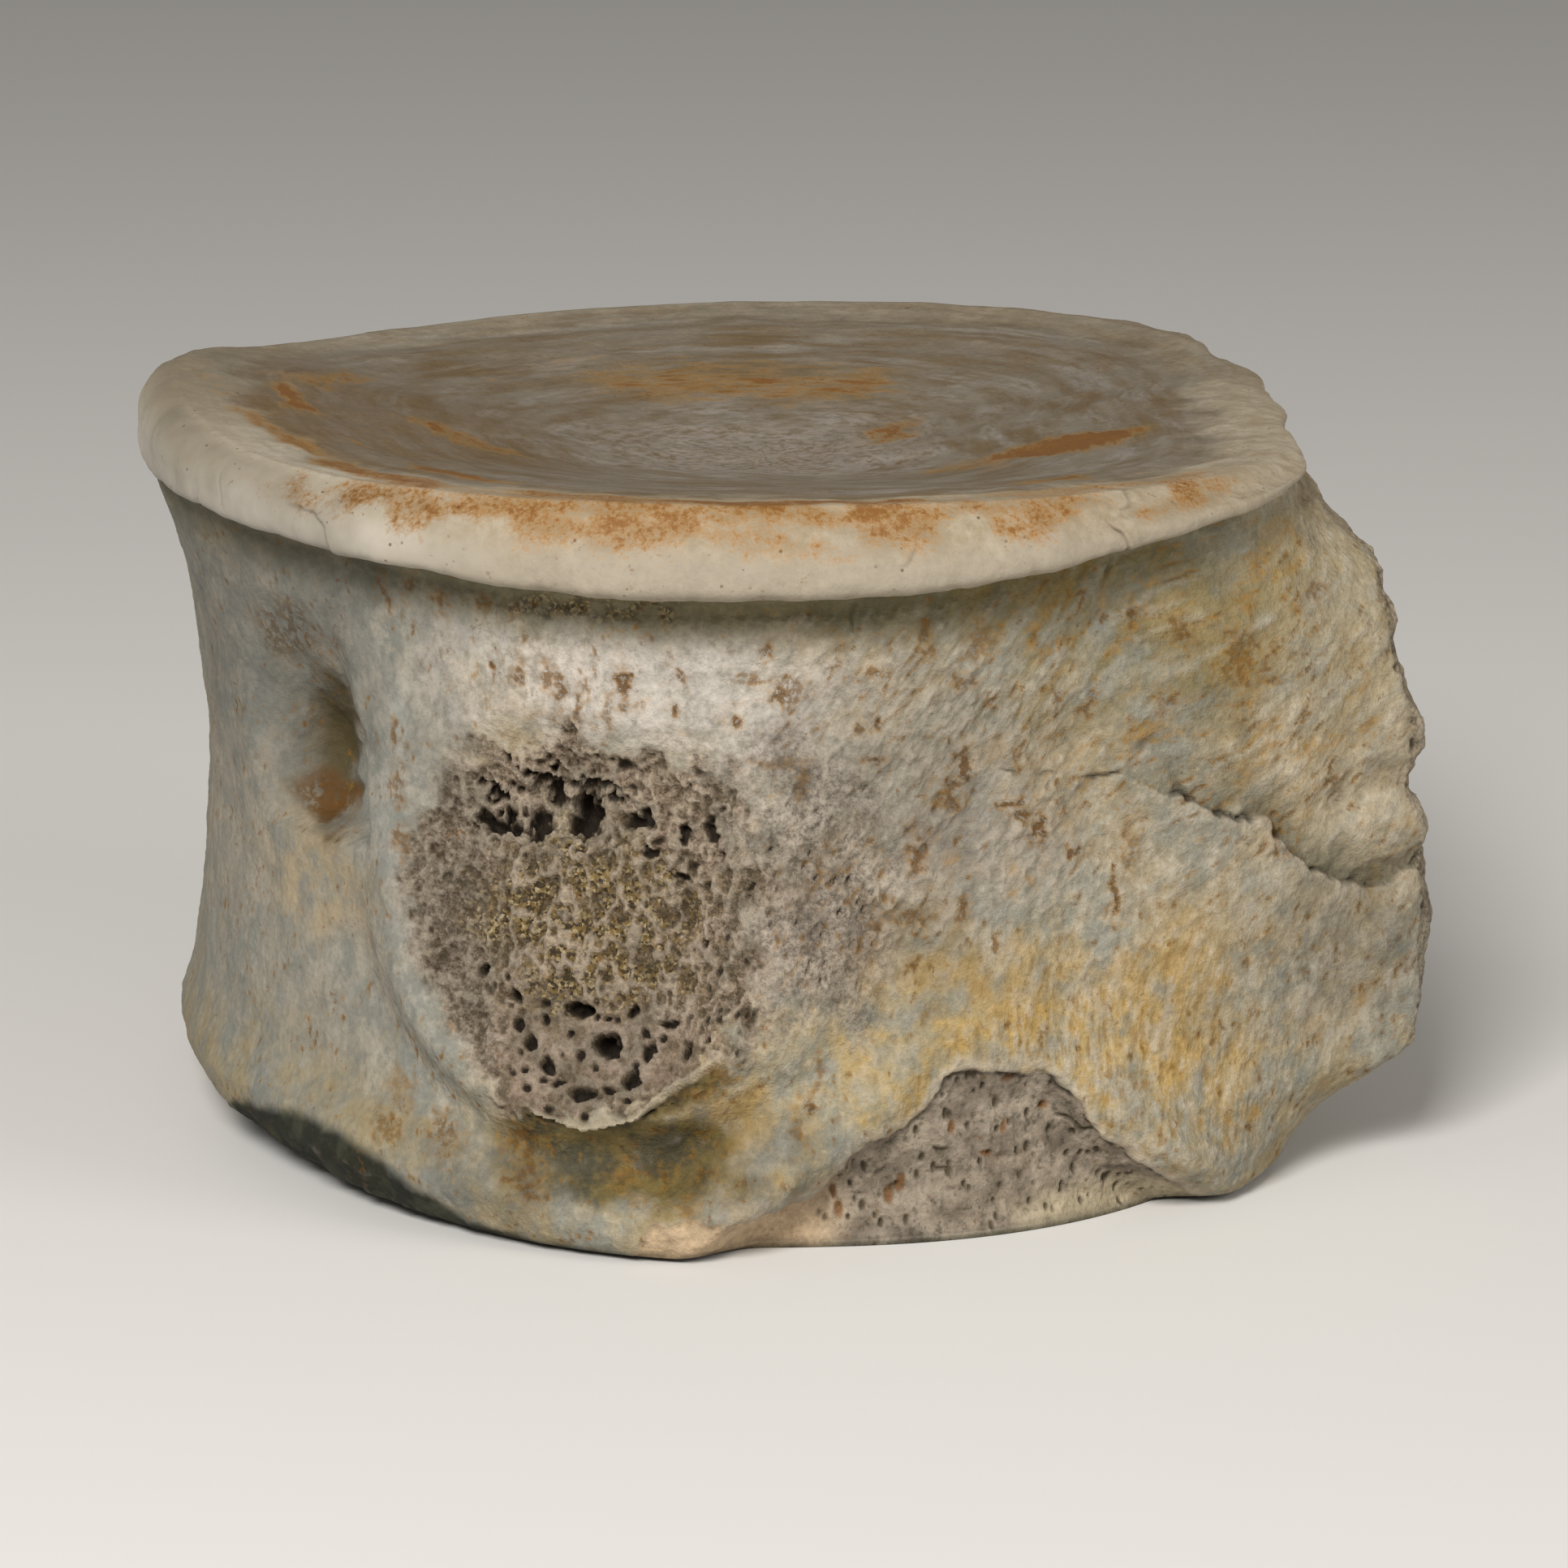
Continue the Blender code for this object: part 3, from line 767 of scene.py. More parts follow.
# The same for the holes above the lip
SCAR_HOLES = (
    (-18.5, 15.5, 0.45, 0.35, 1.2), (-14.7, 15.0, 0.8, 0.4, 1.5), (-13.1, 13.1, 0.8, 0.65, 2.4),
    (-11.4, 15.1, 0.3, 0.35, 1.0), (-17.6, 13.1, 0.3, 0.4, 1.0), (-18.2, 13.9, 0.25, 0.35, 0.8),
    (-16.9, 14.3, 0.2, 0.35, 0.7), (-16.5, 12.0, 0.4, 0.5, 1.2), (-16.2, 11.1, 0.4, 0.2, 0.8),
    (-10.4, 13.0, 0.5, 0.55, 1.0), (-11.5, 11.6, 0.4, 0.5, 1.3), (-14.4, 10.5, 0.9, 0.35, 1.1),
    (-13.0, 11.1, 0.45, 0.3, 0.9), (-8.1, 13.3, 0.25, 0.5, 0.9), (-9.2, 14.6, 0.6, 0.2, 0.8),
    (-12.7, 14.7, 0.3, 0.18, 0.6), (-11.9, 10.4, 0.3, 0.2, 0.6), (-14.2, 9.1, 0.35, 0.3, 0.6),
    (-20.4, 16.8, 0.25, 0.35, 0.9),
)
print(len(CAVES) + len(SCAR_HOLES), "holes placed by hand")

# %% [markdown]
# ## Sponge, threads and sand
# The smaller pores are scattered cells, sunk where they belong. The threads of bone between the
# hollows are where a noise is close to zero, because such places form a net. Pores and foam give
# way to the lip and to the sand.

# %% Scar
SANDY_X, SANDY_Z = (-13.8, 7.0), (20.6, 5.6)        # middle and half, mm
CLEAN_X, CLEAN_Z = (-13.4, 6.3), (12.0, 4.4)
# Patch under the scar's lip that the finish paints with an olive painted shade
UNDER_SCAR_X, UNDER_SCAR_Z = (-12.0, 7.4), (6.6, 2.8)
PORE_SIZE, PORE_DEPTH = 0.90, 0.50
FOAM_SIZE, FOAM_DEPTH = 0.55, 0.38
CRUMB_SIZE, CRUMB_HIGH, LUMP_HIGH = 0.50, 0.18, 0.32
SCAR_LIP_HIGH, CLEAN_IN, SANDY_IN = 0.20, 0.30, 0.25
WEB_SIZE, WEB_HIGH = (1.8, 1.8, 3.0), 0.28         # the threads of bone left between the hollows
SCAR_DROP, SCAR_DROP_REACH = 0.45, 3.4              # the flank lies back under the cream lip
SCAR_TOP = 0.16                                     # how much lower its upper edge is drawn

scar_x, scar_z = x - FAR_BACK / MM * far_side + wander, z - FAR_UP / MM * far_side + wander_up
_, scar_up, scar_out = on_scar(scar_x * MM, scar_z * MM)
flanks = near + far_side


def dents(spots, across, up, ragged=0):
    """Depth of round dents, and how much of a dent each point is in."""
    depth, inside = np.zeros_like(across), np.zeros_like(across)
    for at_x, at_z, half_x, half_z, deep in spots:
        out = np.hypot((across - at_x) / half_x, (up - at_z) / half_z) + ragged
        depth = np.maximum(depth, deep * ramp(1.4, 0.4, out))
        inside = np.maximum(inside, ramp(1.2, 0.6, out))
    return depth, inside


def patch(across, up, middle_across, middle_up, blur=0.35):
    """A soft oval patch, given the middle and half of each way."""
    out = np.hypot((across - middle_across[0]) / middle_across[1],
                   (up - middle_up[0]) / middle_up[1])
    return ramp(1 + blur, 1 - blur, out + 0.3 * uneven)


crumbs = within(ramp(1.5, 1.3, scar_out) * flanks, clouds, place / CRUMB_SIZE, 67, 2, 0.6)
scar_out = scar_out + SCAR_TOP * ramp(0.2, 0.7, scar_up) + 0.03 * crumbs
knurls = clouds(place / 1.6, 69, 3)
on_left, on_right = ramp(-18.5, -21.5, scar_x), ramp(-10, -5, scar_x)
scar_edge = scar_out + 0.16 * uneven * (1 - 0.6 * on_left) + (0.03 + 0.12 * on_right) * knurls
scar = ramp(1.06 + 0.12 * on_right, 0.92 - 0.14 * on_right - 0.06 * on_left, scar_edge) * flanks
left_slope = ramp(-18.5, -21.0, scar_x) * scar
sandy = patch(scar_x, scar_z, SANDY_X, SANDY_Z, 0.3) * scar
clean = patch(scar_x, scar_z, CLEAN_X, CLEAN_Z, 0.2) * scar
gap, side, along = from_line(scar_x - wander * 0.8, scar_z - wander_up * 0.8, SCAR_LIP)
lip_ends = ramp(0.0, 0.12, along) * ramp(1.0, 0.80, along)
scar_lip = ramp(0.40, 0.08, gap) * lip_ends * flanks
scar_drop = ramp(SCAR_DROP_REACH, 0.2, gap) * (side < 0) * lip_ends * flanks
ragged = 0.5 * crumbs
depth, cave = dents(CAVES, scar_x, scar_z, ragged)
deeper, hole = dents(SCAR_HOLES, scar_x, scar_z, 0.5 * ragged)
depth, hole = np.maximum(depth, deeper) * flanks, np.maximum(cave, hole) * flanks
pore_gap, pore_number = within(scar, cells, place / PORE_SIZE, 51)
pore_gap = pore_gap * (0.7 + 0.6 * pore_number) + 0.10 * crumbs
pore = ramp(0.42, 0.14, pore_gap) * (pore_number > 0.35)
foam_places = fibre / (FOAM_SIZE, FOAM_SIZE, FOAM_SIZE / 2)
foam_gap, foam_number = within(scar, cells, foam_places, 61)
foam = ramp(0.45, 0.12, foam_gap + 0.06 * crumbs) * (foam_number > 0.25) * (1 - left_slope * 0.5)
rough = scar * (1 - scar_lip)
pores = pore * np.maximum(clean, 0.3 * scar * (1 - sandy)) * (1 - scar_lip) * (1 - left_slope)
foam = foam * rough * (1 - 0.6 * clean) * (1 - 0.7 * sandy)
relief += SCAR_LIP_HIGH * scar_lip - SCAR_DROP * scar_drop
relief -= CLEAN_IN * clean + SANDY_IN * sandy + depth + PORE_DEPTH * pores + FOAM_DEPTH * foam
relief += LUMP_HIGH * within(scar, clouds, place / 1.9, 65, 3) * rough * (1 - 0.5 * clean)
relief += CRUMB_HIGH * crumbs * rough * (1 - 0.6 * clean)
web = within(scar, clouds, place / WEB_SIZE, 59, 3, 0.6)
web = ramp(0.34, 0.04, np.abs(web) + 0.10 * crumbs) * rough
web = web * (1 - 0.8 * clean) * (1 - left_slope)
relief += WEB_HIGH * (web - 0.4 * rough)
masks.update(scar=scar, slope=left_slope, sandy=sandy, clean=clean, web=web, lip=scar_lip)
# Where the finish paints an olive painted shade under the scar's lip
masks["drop"] = np.maximum(
    scar_drop, patch(x, z, UNDER_SCAR_X, UNDER_SCAR_Z, 0.5) * near * (1 - scar))
# Holes, pores and foam, which the finish paints dark umber as painted shade
masks["hole"] = np.maximum(hole, np.maximum(0.9 * pores, 0.85 * foam))
print("pores over", round(100 * float((scar > 0.5).mean()), 1), "% of the grid")

# %% [markdown]
# ## Spongy ground and nodules beside the scar
# To the right of the scar the skin of the bone is open for a finger's breadth of pores and thin
# slits. Further on it is knobbly, with small swellings that climb to the right. The swellings
# are noise in turned coordinates, stretched along the climb, and only its upper half is used.

# %% Right of the scar
POROUS_X, POROUS_Z = (-0.8, 5.4), (23.0, 8.0)        # middle and half, mm
NODULE_X, NODULE_Z = (5.0, 11.0), (28.0, 11.0)
NODULE_LONG, NODULE_WIDE, NODULE_HIGH = 2.6, 1.3, 0.26
NODULE_CLIMB = math.radians(50)
SLIT_WIDE, SLIT_TALL, POROUS_SLIT, POROUS_ROUGH = 0.45, 1.3, 0.30, 0.14

porous = patch(x, z, POROUS_X, POROUS_Z, 0.5) * near * (1 - scar)
nodules = patch(x, z, NODULE_X, NODULE_Z, 0.5) * near * (1 - scar)
climb = (x * math.cos(NODULE_CLIMB) + z * math.sin(NODULE_CLIMB)) / NODULE_LONG
level = (z * math.cos(NODULE_CLIMB) - x * math.sin(NODULE_CLIMB)) / NODULE_WIDE
slanted = np.stack([climb, level, y / 6], -1)
swelling = np.clip(within(nodules, clouds, slanted, 71, 3, 0.6) + 0.15, 0, 1.3)
relief += NODULE_HIGH * swelling * nodules
slit_places = fibre / (SLIT_WIDE, SLIT_WIDE, SLIT_TALL / STRETCH)
slit_gap, slit_number = within(porous, cells, slit_places, 75)
slit = ramp(0.38, 0.12, slit_gap) * (slit_number > 0.45) * porous
relief -= POROUS_SLIT * slit
relief += POROUS_ROUGH * within(porous, clouds, place / 0.9, 77, 3, 0.6) * porous
masks["porous"] = porous
masks["nodule"] = swelling * nodules
masks["hole"] = np.maximum(masks["hole"], 0.65 * slit)
print("swellings up to", round(float((NODULE_HIGH * swelling * nodules).max()), 2), "mm")

# %% [markdown]
# ## The vessel's hole
# Left of the scar a groove leads down to a hole for a blood vessel. Its floor is stained brown
# and rusty, and a patch of brown sits above it. The solid has the groove, so only a soft pit is
# added, deep on its right half, where the shade is darkest.

# %% Vessel's hole
PIT_X, PIT_Z, PIT_DEPTH = (-30.0, 2.3), (27.8, 4.8), 0.35
GROOVE_ROUGH = 0.06                                 # mm
VESSEL_STAINS = (
    ("vessel_patch", (-32.4, 1.6), (35.6, 2.4)),
    ("vessel_rust", (-29.6, 1.9), (24.6, 1.4)),
)

groove = vessel_hole(scar_x * MM, scar_z * MM) / HOLE_DEPTH * flanks
pit = patch(scar_x, scar_z, PIT_X, PIT_Z, 0.28) * flanks
right_half = ramp(-31.6, -29.0, scar_x)
relief -= PIT_DEPTH * pit * right_half
relief += GROOVE_ROUGH * within(groove, clouds, place / 1.5, 82, 3) * groove
masks["vessel"] = np.maximum(0.25 * groove, pit * (0.35 + 0.65 * right_half))
for name, stain_x, stain_z in VESSEL_STAINS:
    masks[name] = patch(scar_x, scar_z, stain_x, stain_z, 0.5) * flanks
print("the groove covers", round(100 * float((groove > 0.5).mean()), 2), "% of the grid")

# %% [markdown]
# ## The crack on the flank
# A crack runs to the back from the middle of the flank, up and over a hump and down again. The
# bone above it is slightly sunk, which shades it more than the crack itself does, and that band
# also gets an olive painted shade. A crack is a narrow groove with a step, so the side of the line
# is needed too, and the finish paints it dark umber as painted shade. Its depth changes along it.
# Hair cracks branch off it and cross the rim, and on the left a flake has lifted off the lip, with
# a thin painted shadow under it.

# %% Cracks
# Turn in degrees and height in mm
FLANK_CRACK = (
    (-77, 29.2), (-75, 29.7), (-71, 29.3), (-65, 28.6), (-62, 28.7), (-60, 27.7), (-56, 26.9),
    (-54, 26.0), (-48, 24.6), (-46.6, 23.4), (-45, 22.2), (-42, 20.6), (-40, 19.5), (-36, 19.3),
    (-33, 20.2), (-28, 21.6),
)
SIDE_CRACK = ((-61.4, 28.7), (-61.0, 30.4), (-59, 30.9), (-57.8, 29.3), (-56.2, 27.2))
UP_CRACK = ((-46.9, 24.1), (-47.2, 27.0), (-46.8, 29.5), (-47.2, 31.4))
RIM_CRACKS = (
    ((-62.5, 47.2), (-66.8, 46.0), (-66.2, 45.0), (-63.4, 42.6), (-63.8, 40.4), (-66, 38.4)),
    ((-82.6, 45.0), (-84.4, 43.6), (-86.4, 41.9), (-87.0, 40.2), (-87.4, 38.9)),
    ((-148.6, 48.0), (-148, 47.0), (-146, 45.2), (-145.2, 44.0)),
    ((120, 47.6), (122, 45.6), (121, 42.0)),
    ((70, 47.2), (72, 45.0), (71.5, 41.2)),
)
# The flake that lifted off the lip, and how far it stands out in mm
FLAKE = ((-138.0, 45.6), (-136.0, 45.4), (-133.0, 45.2), (-131.4, 44.4), (-131.0, 43.3))
FLAKE_OUT = 0.22
CRACK_DEPTH, CRACK_HALF, CRACK_STEP, CRACK_VALLEY = 0.28, 0.20, 0.42, 4.2
CRACK_RAISED, RIM_CRACK_DEPTH = 0.18, 0.22
# Soft folds beside the broken edge: turns and heights, rise and half width in mm
FOLDS = (
    (((-45, 24.3), (-40, 25.2), (-36, 25.9), (-28, 26.4)), -0.70, 1.5),
    (((-42, 21.4), (-37, 23.0), (-33, 23.4), (-28, 23.6)), 0.40, 1.8),
    (((-40, 19.5), (-36, 19.4), (-33, 20.4), (-28, 21.4)), -0.45, 1.3),
)


def on_turns(line):
    """A line's turns in millimetres round the wall."""
    return [(degree * MM_PER_DEGREE, height) for degree, height in line]


broken_off = ramp(-0.25, 0.55, noise(place / 2.3, 87))          # where a crack is open
gap, side, along = from_line(round_mm + 1.3 * wander, z + 1.3 * wander_up, on_turns(FLANK_CRACK))
ends = ramp(0.0, 0.06, along) * ramp(1.0, 0.8, along)
crack = ramp(CRACK_HALF, 0.05, gap) * ends * near * broken_off
stepped = ends * ramp(0.20, 0.55, along) * near
sunk = ramp(CRACK_VALLEY, 0.0, gap + 0.3 * uneven) * (side > 0) * stepped
raised = ramp(2.4, 0.2, gap) * (side < 0) * stepped
relief -= CRACK_DEPTH * crack + CRACK_STEP * sunk - CRACK_RAISED * raised
for line, rise, half in FOLDS:
    gap, _, along = from_line(round_mm + wander, z + wander_up, on_turns(line))
    relief += rise * hump(gap, 1.5 * half) * ramp(0.0, 0.35, along) * near
for line, deep in ((SIDE_CRACK, 0.25), (UP_CRACK, 0.06)):
    gap, _, _ = from_line(round_mm + 0.8 * wander, z + 0.8 * wander_up, on_turns(line))
    hair = ramp(CRACK_HALF * 2.2, 0.05, gap) * near * (0.3 + 0.7 * broken_off)
    relief -= deep * hair
    crack = np.maximum(crack, (0.15 + deep) * hair)
for line in RIM_CRACKS:
    gap, _, _ = from_line(round_mm + 1.1 * wander, z + 0.6 * wander_up, on_turns(line))
    hair = ramp(0.20, 0.04, gap) * ramp(0.85, 0.95, share) * broken_off
    relief -= RIM_CRACK_DEPTH * hair
    crack = np.maximum(crack, 0.7 * hair)
gap, side, along = from_line(round_mm, z, on_turns(FLAKE))
flake = ramp(1.8, 0.1, gap) * (side > 0) * ramp(0.0, 0.4, along) * on_wall
relief += FLAKE_OUT * flake
# A thin dark line under the lifted flake, its painted shadow
under_flake = ramp(0.30, 0.05, gap) * ramp(0.1, 0.5, along) * (side <= 0) * on_wall
# The finish paints cracks and that line dark umber as painted shade, and the sunk band above the
# crack olive as painted shade
masks["crack"], masks["valley"] = np.maximum(crack, 0.5 * under_flake), sunk
print("the bone beside the crack sinks by", round(CRACK_STEP * float(sunk.max()), 2), "mm")

# %% [markdown]
# ## The chip and the worn foot
# The lower rim lost a chip. The broken bone inside lies in low shelves and is dense, dotted with
# small slits and holes full of rust, and a narrow gap runs under part of its upper edge, painted
# dark as its shadow. On the belly side the foot is worn to a slope, which is painted dark as
# shade. Both edges are lines drawn over the flank, and noise makes them ragged.

# %% Broken foot
# The chip's drawn edge and that of the worn slope: distance back from the axis and height
CHIP_LINE = (
    (-12.5, 0.0), (-11.2, 1.0), (-10.1, 2.8), (-7.0, 3.0), (-4.9, 3.2), (-2.3, 3.1), (-0.6, 3.3),
    (0.6, 4.2), (2.4, 6.6), (5.7, 7.6), (7.5, 9.5), (9.2, 11.2), (11.8, 10.6), (14.7, 10.2),
    (16.7, 8.4), (18.4, 5.9), (20.2, 4.5), (22.2, 2.7), (24.6, 0.8), (26.0, -0.5),
)
WORN_LINE = (
    (-38.5, 0.0), (-36.6, 2.2), (-35.9, 3.9), (-33.5, 4.9), (-31.4, 5.3), (-27.2, 4.3),
    (-24.2, 2.6), (-21.7, 1.4), (-17.8, 0.7), (-10.0, 0.4), (2.0, 0.2),
)
# The same as for the scar's holes, for the holes in the chip that are filled with rust
CHIP_RUST = (
    (1.6, 2.3, 0.35, 0.7, 0.2), (1.3, 3.5, 0.2, 0.6, 0.2), (4.8, 3.1, 0.3, 0.6, 0.2),
    (5.4, 3.8, 0.3, 0.6, 0.2), (8.8, 7.2, 0.25, 0.5, 0.2), (12.2, 6.9, 0.2, 0.45, 0.2),
    (14.7, 7.9, 0.25, 0.3, 0.2), (12.4, 10.0, 0.35, 0.2, 0.2), (11.0, 5.3, 0.4, 0.2, 0.2),
)
CHIP_SHELVES, CHIP_STEP = 3.0, 0.10      # mm of height to a shelf, mm that each goes in
CHIP_CRACKS = (
    ((3.0, 4.6), (5.8, 4.9), (8.6, 4.3)), ((7.4, 6.2), (9.6, 5.8)), ((14.0, 7.8), (17.6, 6.0)),
)
CHIP_IN, CHIP_GAP_IN, CHIP_EDGE_OUT, CHIP_ROUGH = 0.20, 0.22, 0.08, 0.09   # mm
SLIT_DEPTH, WORN_ROUGH = 0.24, 0.16

under_chip = through(CHIP_LINE, x) - z + 0.7 * wander + 0.35 * knurls
chip_side = near * ramp(15.5, 14.0, z) * on_wall
chipped = ramp(-0.15, 0.30, under_chip) * chip_side
chip_edge = hump(under_chip + 0.45, 0.8) * chip_side * ramp(-9, -4, x)
chip_gap = hump(under_chip - 0.25, 0.45) * chip_side * ramp(3.5, 6.0, x) * ramp(24, 21, x)
chip_gap = chip_gap * ramp(-0.4, 0.1, noise(place / 1.3, 95))
ragged = clouds(place / 2.6, 91, 3)
shelf = under_chip / CHIP_SHELVES + 0.8 * ragged
steps = np.floor(shelf) + ramp(0.0, 0.25, shelf - np.floor(shelf))
relief -= CHIP_STEP * steps * chipped
relief -= CHIP_IN * ramp(0.0, 0.4, under_chip) * chipped + CHIP_GAP_IN * chip_gap
relief += CHIP_EDGE_OUT * chip_edge
relief += CHIP_ROUGH * within(chipped, clouds, place / 1.3, 92, 4, 0.65) * chipped
slit_gap, slit_number = within(chipped, cells, place / (0.70, 0.70, 1.2), 93)
slits = ramp(0.40, 0.18, slit_gap * (0.8 + slit_number)) * (slit_number > 0.12) * chipped
slits = slits * ramp(0.1, 0.6, under_chip)
for line in CHIP_CRACKS:
    gap, _, _ = from_line(x + wander, z + 1.5 * wander_up, line)
    hair = ramp(0.20, 0.05, gap) * chipped * ramp(-0.1, 0.4, noise(place / 1.5, 96))
    slits = np.maximum(slits, hair)
slits *= ramp(-2, 2, x)
relief -= SLIT_DEPTH * slits
depth, chip_rust = dents(CHIP_RUST, x + 0.5 * wander, z + 0.5 * wander_up, 0.3 * wander)
relief -= depth * chipped
masks.update(chip=chipped, chip_edge=chip_edge, slits=slits, chip_rust=chip_rust * chipped)
masks["chip_left"] = chipped * ramp(3.0, -1.0, x)
masks["chip_low"] = chipped * ramp(3.2, 1.2, z) * ramp(11, 16, x)
# The gap under the chip's edge is painted dark umber as its painted shadow
masks["hole"] = np.maximum(masks["hole"], 0.55 * chip_gap)

worn = ramp(0.6, -0.5, z - through(WORN_LINE, x) + 0.12 * ragged) * on_wall
worn = worn * np.maximum(near * ramp(-38.0, -36.8, x), far_side * hump(away(turn, 165), 30))
relief += WORN_ROUGH * ragged * worn
# The worn slope's mask, which the finish paints nearly black as painted shade
masks["worn"] = worn
print("the chip and the worn slope cover",
      round(100 * float((np.maximum(chipped, worn) > 0.5).mean()), 1), "% of the grid")

# %% [markdown]
# ## The broken arch
# The two feet of the arch end in broken faces of open, spongy bone, with the smooth canal
# between them. The broken faces are the part of the feet that looks back. Their pores are
# scattered cells again, each of its own size and ragged, so that they don't look punched.

# %% Broken feet of the arch
ARCH_PORE_DEPTH, ARCH_ROUGH = 0.5, 0.4      # mm


def outward(points):
    """Unit directions out of a grid that is closed round the bone."""
    across = np.roll(points, -1, 1) - np.roll(points, 1, 1)
    out = np.cross(np.gradient(points, axis=0), across)
    return out / np.linalg.norm(out, axis=-1, keepdims=True)


facing = outward(smooth)
looks_back = ramp(0.62, 0.86, facing[..., 0] + 0.10 * uneven)
beside_canal = ramp(0.5, 1.1, np.abs(away(turn, 0)) / CANAL_WAIST)
broken = looks_back * beside_canal * ramp(3, 7, z) * ramp(46, 42, z) * ramp(31, 34, x)
arch_gap, arch_number = within(broken, cells, place / 1.3, 101)
arch_gap = arch_gap * (0.6 + 1.2 * arch_number)
arch_gap = arch_gap + 0.16 * within(broken, clouds, place / 0.6, 104, 2)
arch_pore = ramp(0.5, 0.12, arch_gap) * (arch_number > 0.15) * broken
relief -= ARCH_PORE_DEPTH * arch_pore
relief += ARCH_ROUGH * within(broken, clouds, place / 3.0, 103, 4) * broken
masks["broken"] = broken
masks["hole"] = np.maximum(masks["hole"], 0.7 * arch_pore)
print("broken faces cover", round(100 * float((broken > 0.5).mean()), 1), "% of the grid")

# %% [markdown]
# ## Wear all over
# What is left is the common skin: gentle swells, streaks along the fibres, long flecks where
# dark matrix sits between fibres, and a grain that roughens every edge. Flecks crowd below the
# lip and towards the back, and the largest spots are placed one by one. On the near flank soft
# bumps are drawn out along the fibres, pale on top, and golden dust settled between them. The
# underside gets little, since the bone has to stand flat.

# %% Spots placed one by one
# Stained pits on the near flank: distance back, height, half width, half height, strength
SPOTS = (
    (12.2, 27.5, 0.9, 0.35, 0.9), (14.0, 25.6, 0.5, 0.8, 0.9), (13.0, 26.6, 0.4, 0.5, 0.8),
    (16.4, 24.0, 0.35, 0.35, 0.9), (19.2, 21.2, 0.22, 1.7, 0.9), (19.0, 19.9, 0.35, 0.4, 0.9),
    (20.2, 24.5, 0.45, 1.3, 0.4), (9.1, 30.3, 0.5, 1.2, 0.8), (8.3, 28.5, 0.35, 0.8, 0.7),
    (6.2, 24.7, 0.45, 0.9, 0.7), (5.9, 26.6, 0.5, 0.3, 0.5), (3.7, 20.2, 0.4, 0.35, 0.8),
    (5.6, 20.7, 1.0, 0.3, 0.6), (9.3, 20.9, 0.3, 0.7, 0.7), (30.0, 24.0, 0.4, 0.9, 1.0),
    (30.7, 22.4, 0.7, 0.3, 0.8), (28.2, 4.7, 0.35, 0.4, 0.8), (27.2, 35.7, 1.1, 1.6, 0.5),
    (23.3, 37.3, 0.7, 0.8, 0.6), (19.9, 39.0, 0.4, 1.0, 0.8), (22.1, 33.0, 0.6, 0.9, 0.3),
    (32.6, 38.8, 0.5, 0.5, 0.5), (33.8, 26.6, 0.8, 0.35, 0.6), (14.8, 31.3, 0.35, 0.35, 0.3),
    (-3.2, 37.7, 0.3, 0.5, 0.8), (-1.9, 35.1, 1.0, 0.6, 0.45), (-2.4, 34.7, 0.35, 0.5, 0.8),
    (-4.9, 33.1, 0.35, 0.35, 0.9), (-4.3, 36.2, 0.6, 0.25, 0.4), (3.4, 36.1, 0.7, 0.22, 0.6),
    (3.6, 32.9, 0.22, 0.3, 0.9), (2.6, 32.8, 0.2, 0.4, 0.7), (-2.5, 30.7, 1.3, 0.2, 0.4),
    (-1.1, 29.9, 0.35, 1.0, 0.4), (1.2, 37.4, 0.3, 0.8, 0.3), (9.1, 35.4, 0.5, 0.4, 0.6),
    (6.8, 38.2, 0.3, 1.1, 0.6), (10.1, 38.0, 0.8, 1.1, 0.4), (3.7, 30.8, 0.7, 0.22, 0.8),
    (12.5, 30.7, 0.25, 0.7, 0.4), (0.2, 24.3, 0.25, 0.6, 0.5), (14.9, 34.0, 0.2, 1.0, 0.5),
    (-18.1, 35.5, 0.3, 0.8, 0.7), (-16.1, 35.4, 0.4, 0.9, 0.6), (-15.7, 34.5, 0.35, 0.5, 0.7),
    (-14.4, 34.9, 0.3, 0.35, 0.3), (-11.8, 35.3, 0.3, 1.0, 0.9), (-11.0, 34.3, 0.7, 0.35, 0.3),
    (-8.8, 33.9, 0.22, 0.35, 0.9), (-15.3, 33.2, 1.6, 0.3, 0.2), (-12.5, 33.2, 0.3, 0.9, 0.4),
    (-19.7, 35.7, 0.13, 0.18, 1.0), (-26.0, 39.6, 0.35, 1.0, 0.6), (-22.6, 39.6, 0.3, 0.8, 0.6),
    (-24.6, 40.6, 0.3, 0.7, 0.5), (-20.3, 39.6, 0.3, 0.5, 0.6), (-25.6, 30.9, 0.25, 0.8, 0.6),
    (-25.4, 27.8, 0.3, 1.3, 0.5), (-25.3, 24.5, 0.3, 0.9, 0.5), (-26.3, 6.1, 0.6, 0.8, 0.45),
    (-22.8, 6.5, 0.7, 0.9, 0.5), (-25.3, 8.3, 0.4, 0.8, 0.2), (-18.1, 6.8, 0.9, 0.8, 0.7),
    (-17.8, 4.4, 0.8, 0.9, 0.6), (-11.8, 5.1, 0.6, 0.8, 0.4), (-7.2, 10.7, 1.0, 0.28, 0.6),
    (-6.0, 11.9, 0.7, 0.4, 0.5), (0.0, 11.2, 0.25, 0.8, 0.4), (-0.6, 9.7, 0.35, 0.5, 0.8),
    (-1.4, 8.0, 0.25, 0.9, 0.4), (-8.2, 3.7, 0.6, 0.3, 0.3), (-7.2, 7.7, 0.3, 0.22, 0.6),
    (-9.7, 7.9, 0.3, 0.22, 0.6),
)
print(len(SPOTS), "stained pits")

# %% [markdown]
# ## Streaks, bumps and flecks
# One noise stretched along the fibres gives streaks, and the highest values of another are the
# flecks. A fleck has a soft halo and a dark core, each with a threshold of its own, and so has
# every spot of the table.

# %% Common skin
SWELL, KNOBBLY, STREAK, GRAIN = 0.18, 0.040, 0.020, 0.035
FLECK_DEPTH = 0.10
TUFT_SIZE, TUFT_TALL, TUFT_HIGH = 1.7, 2.6, 0.07      # soft bumps between which gold settled

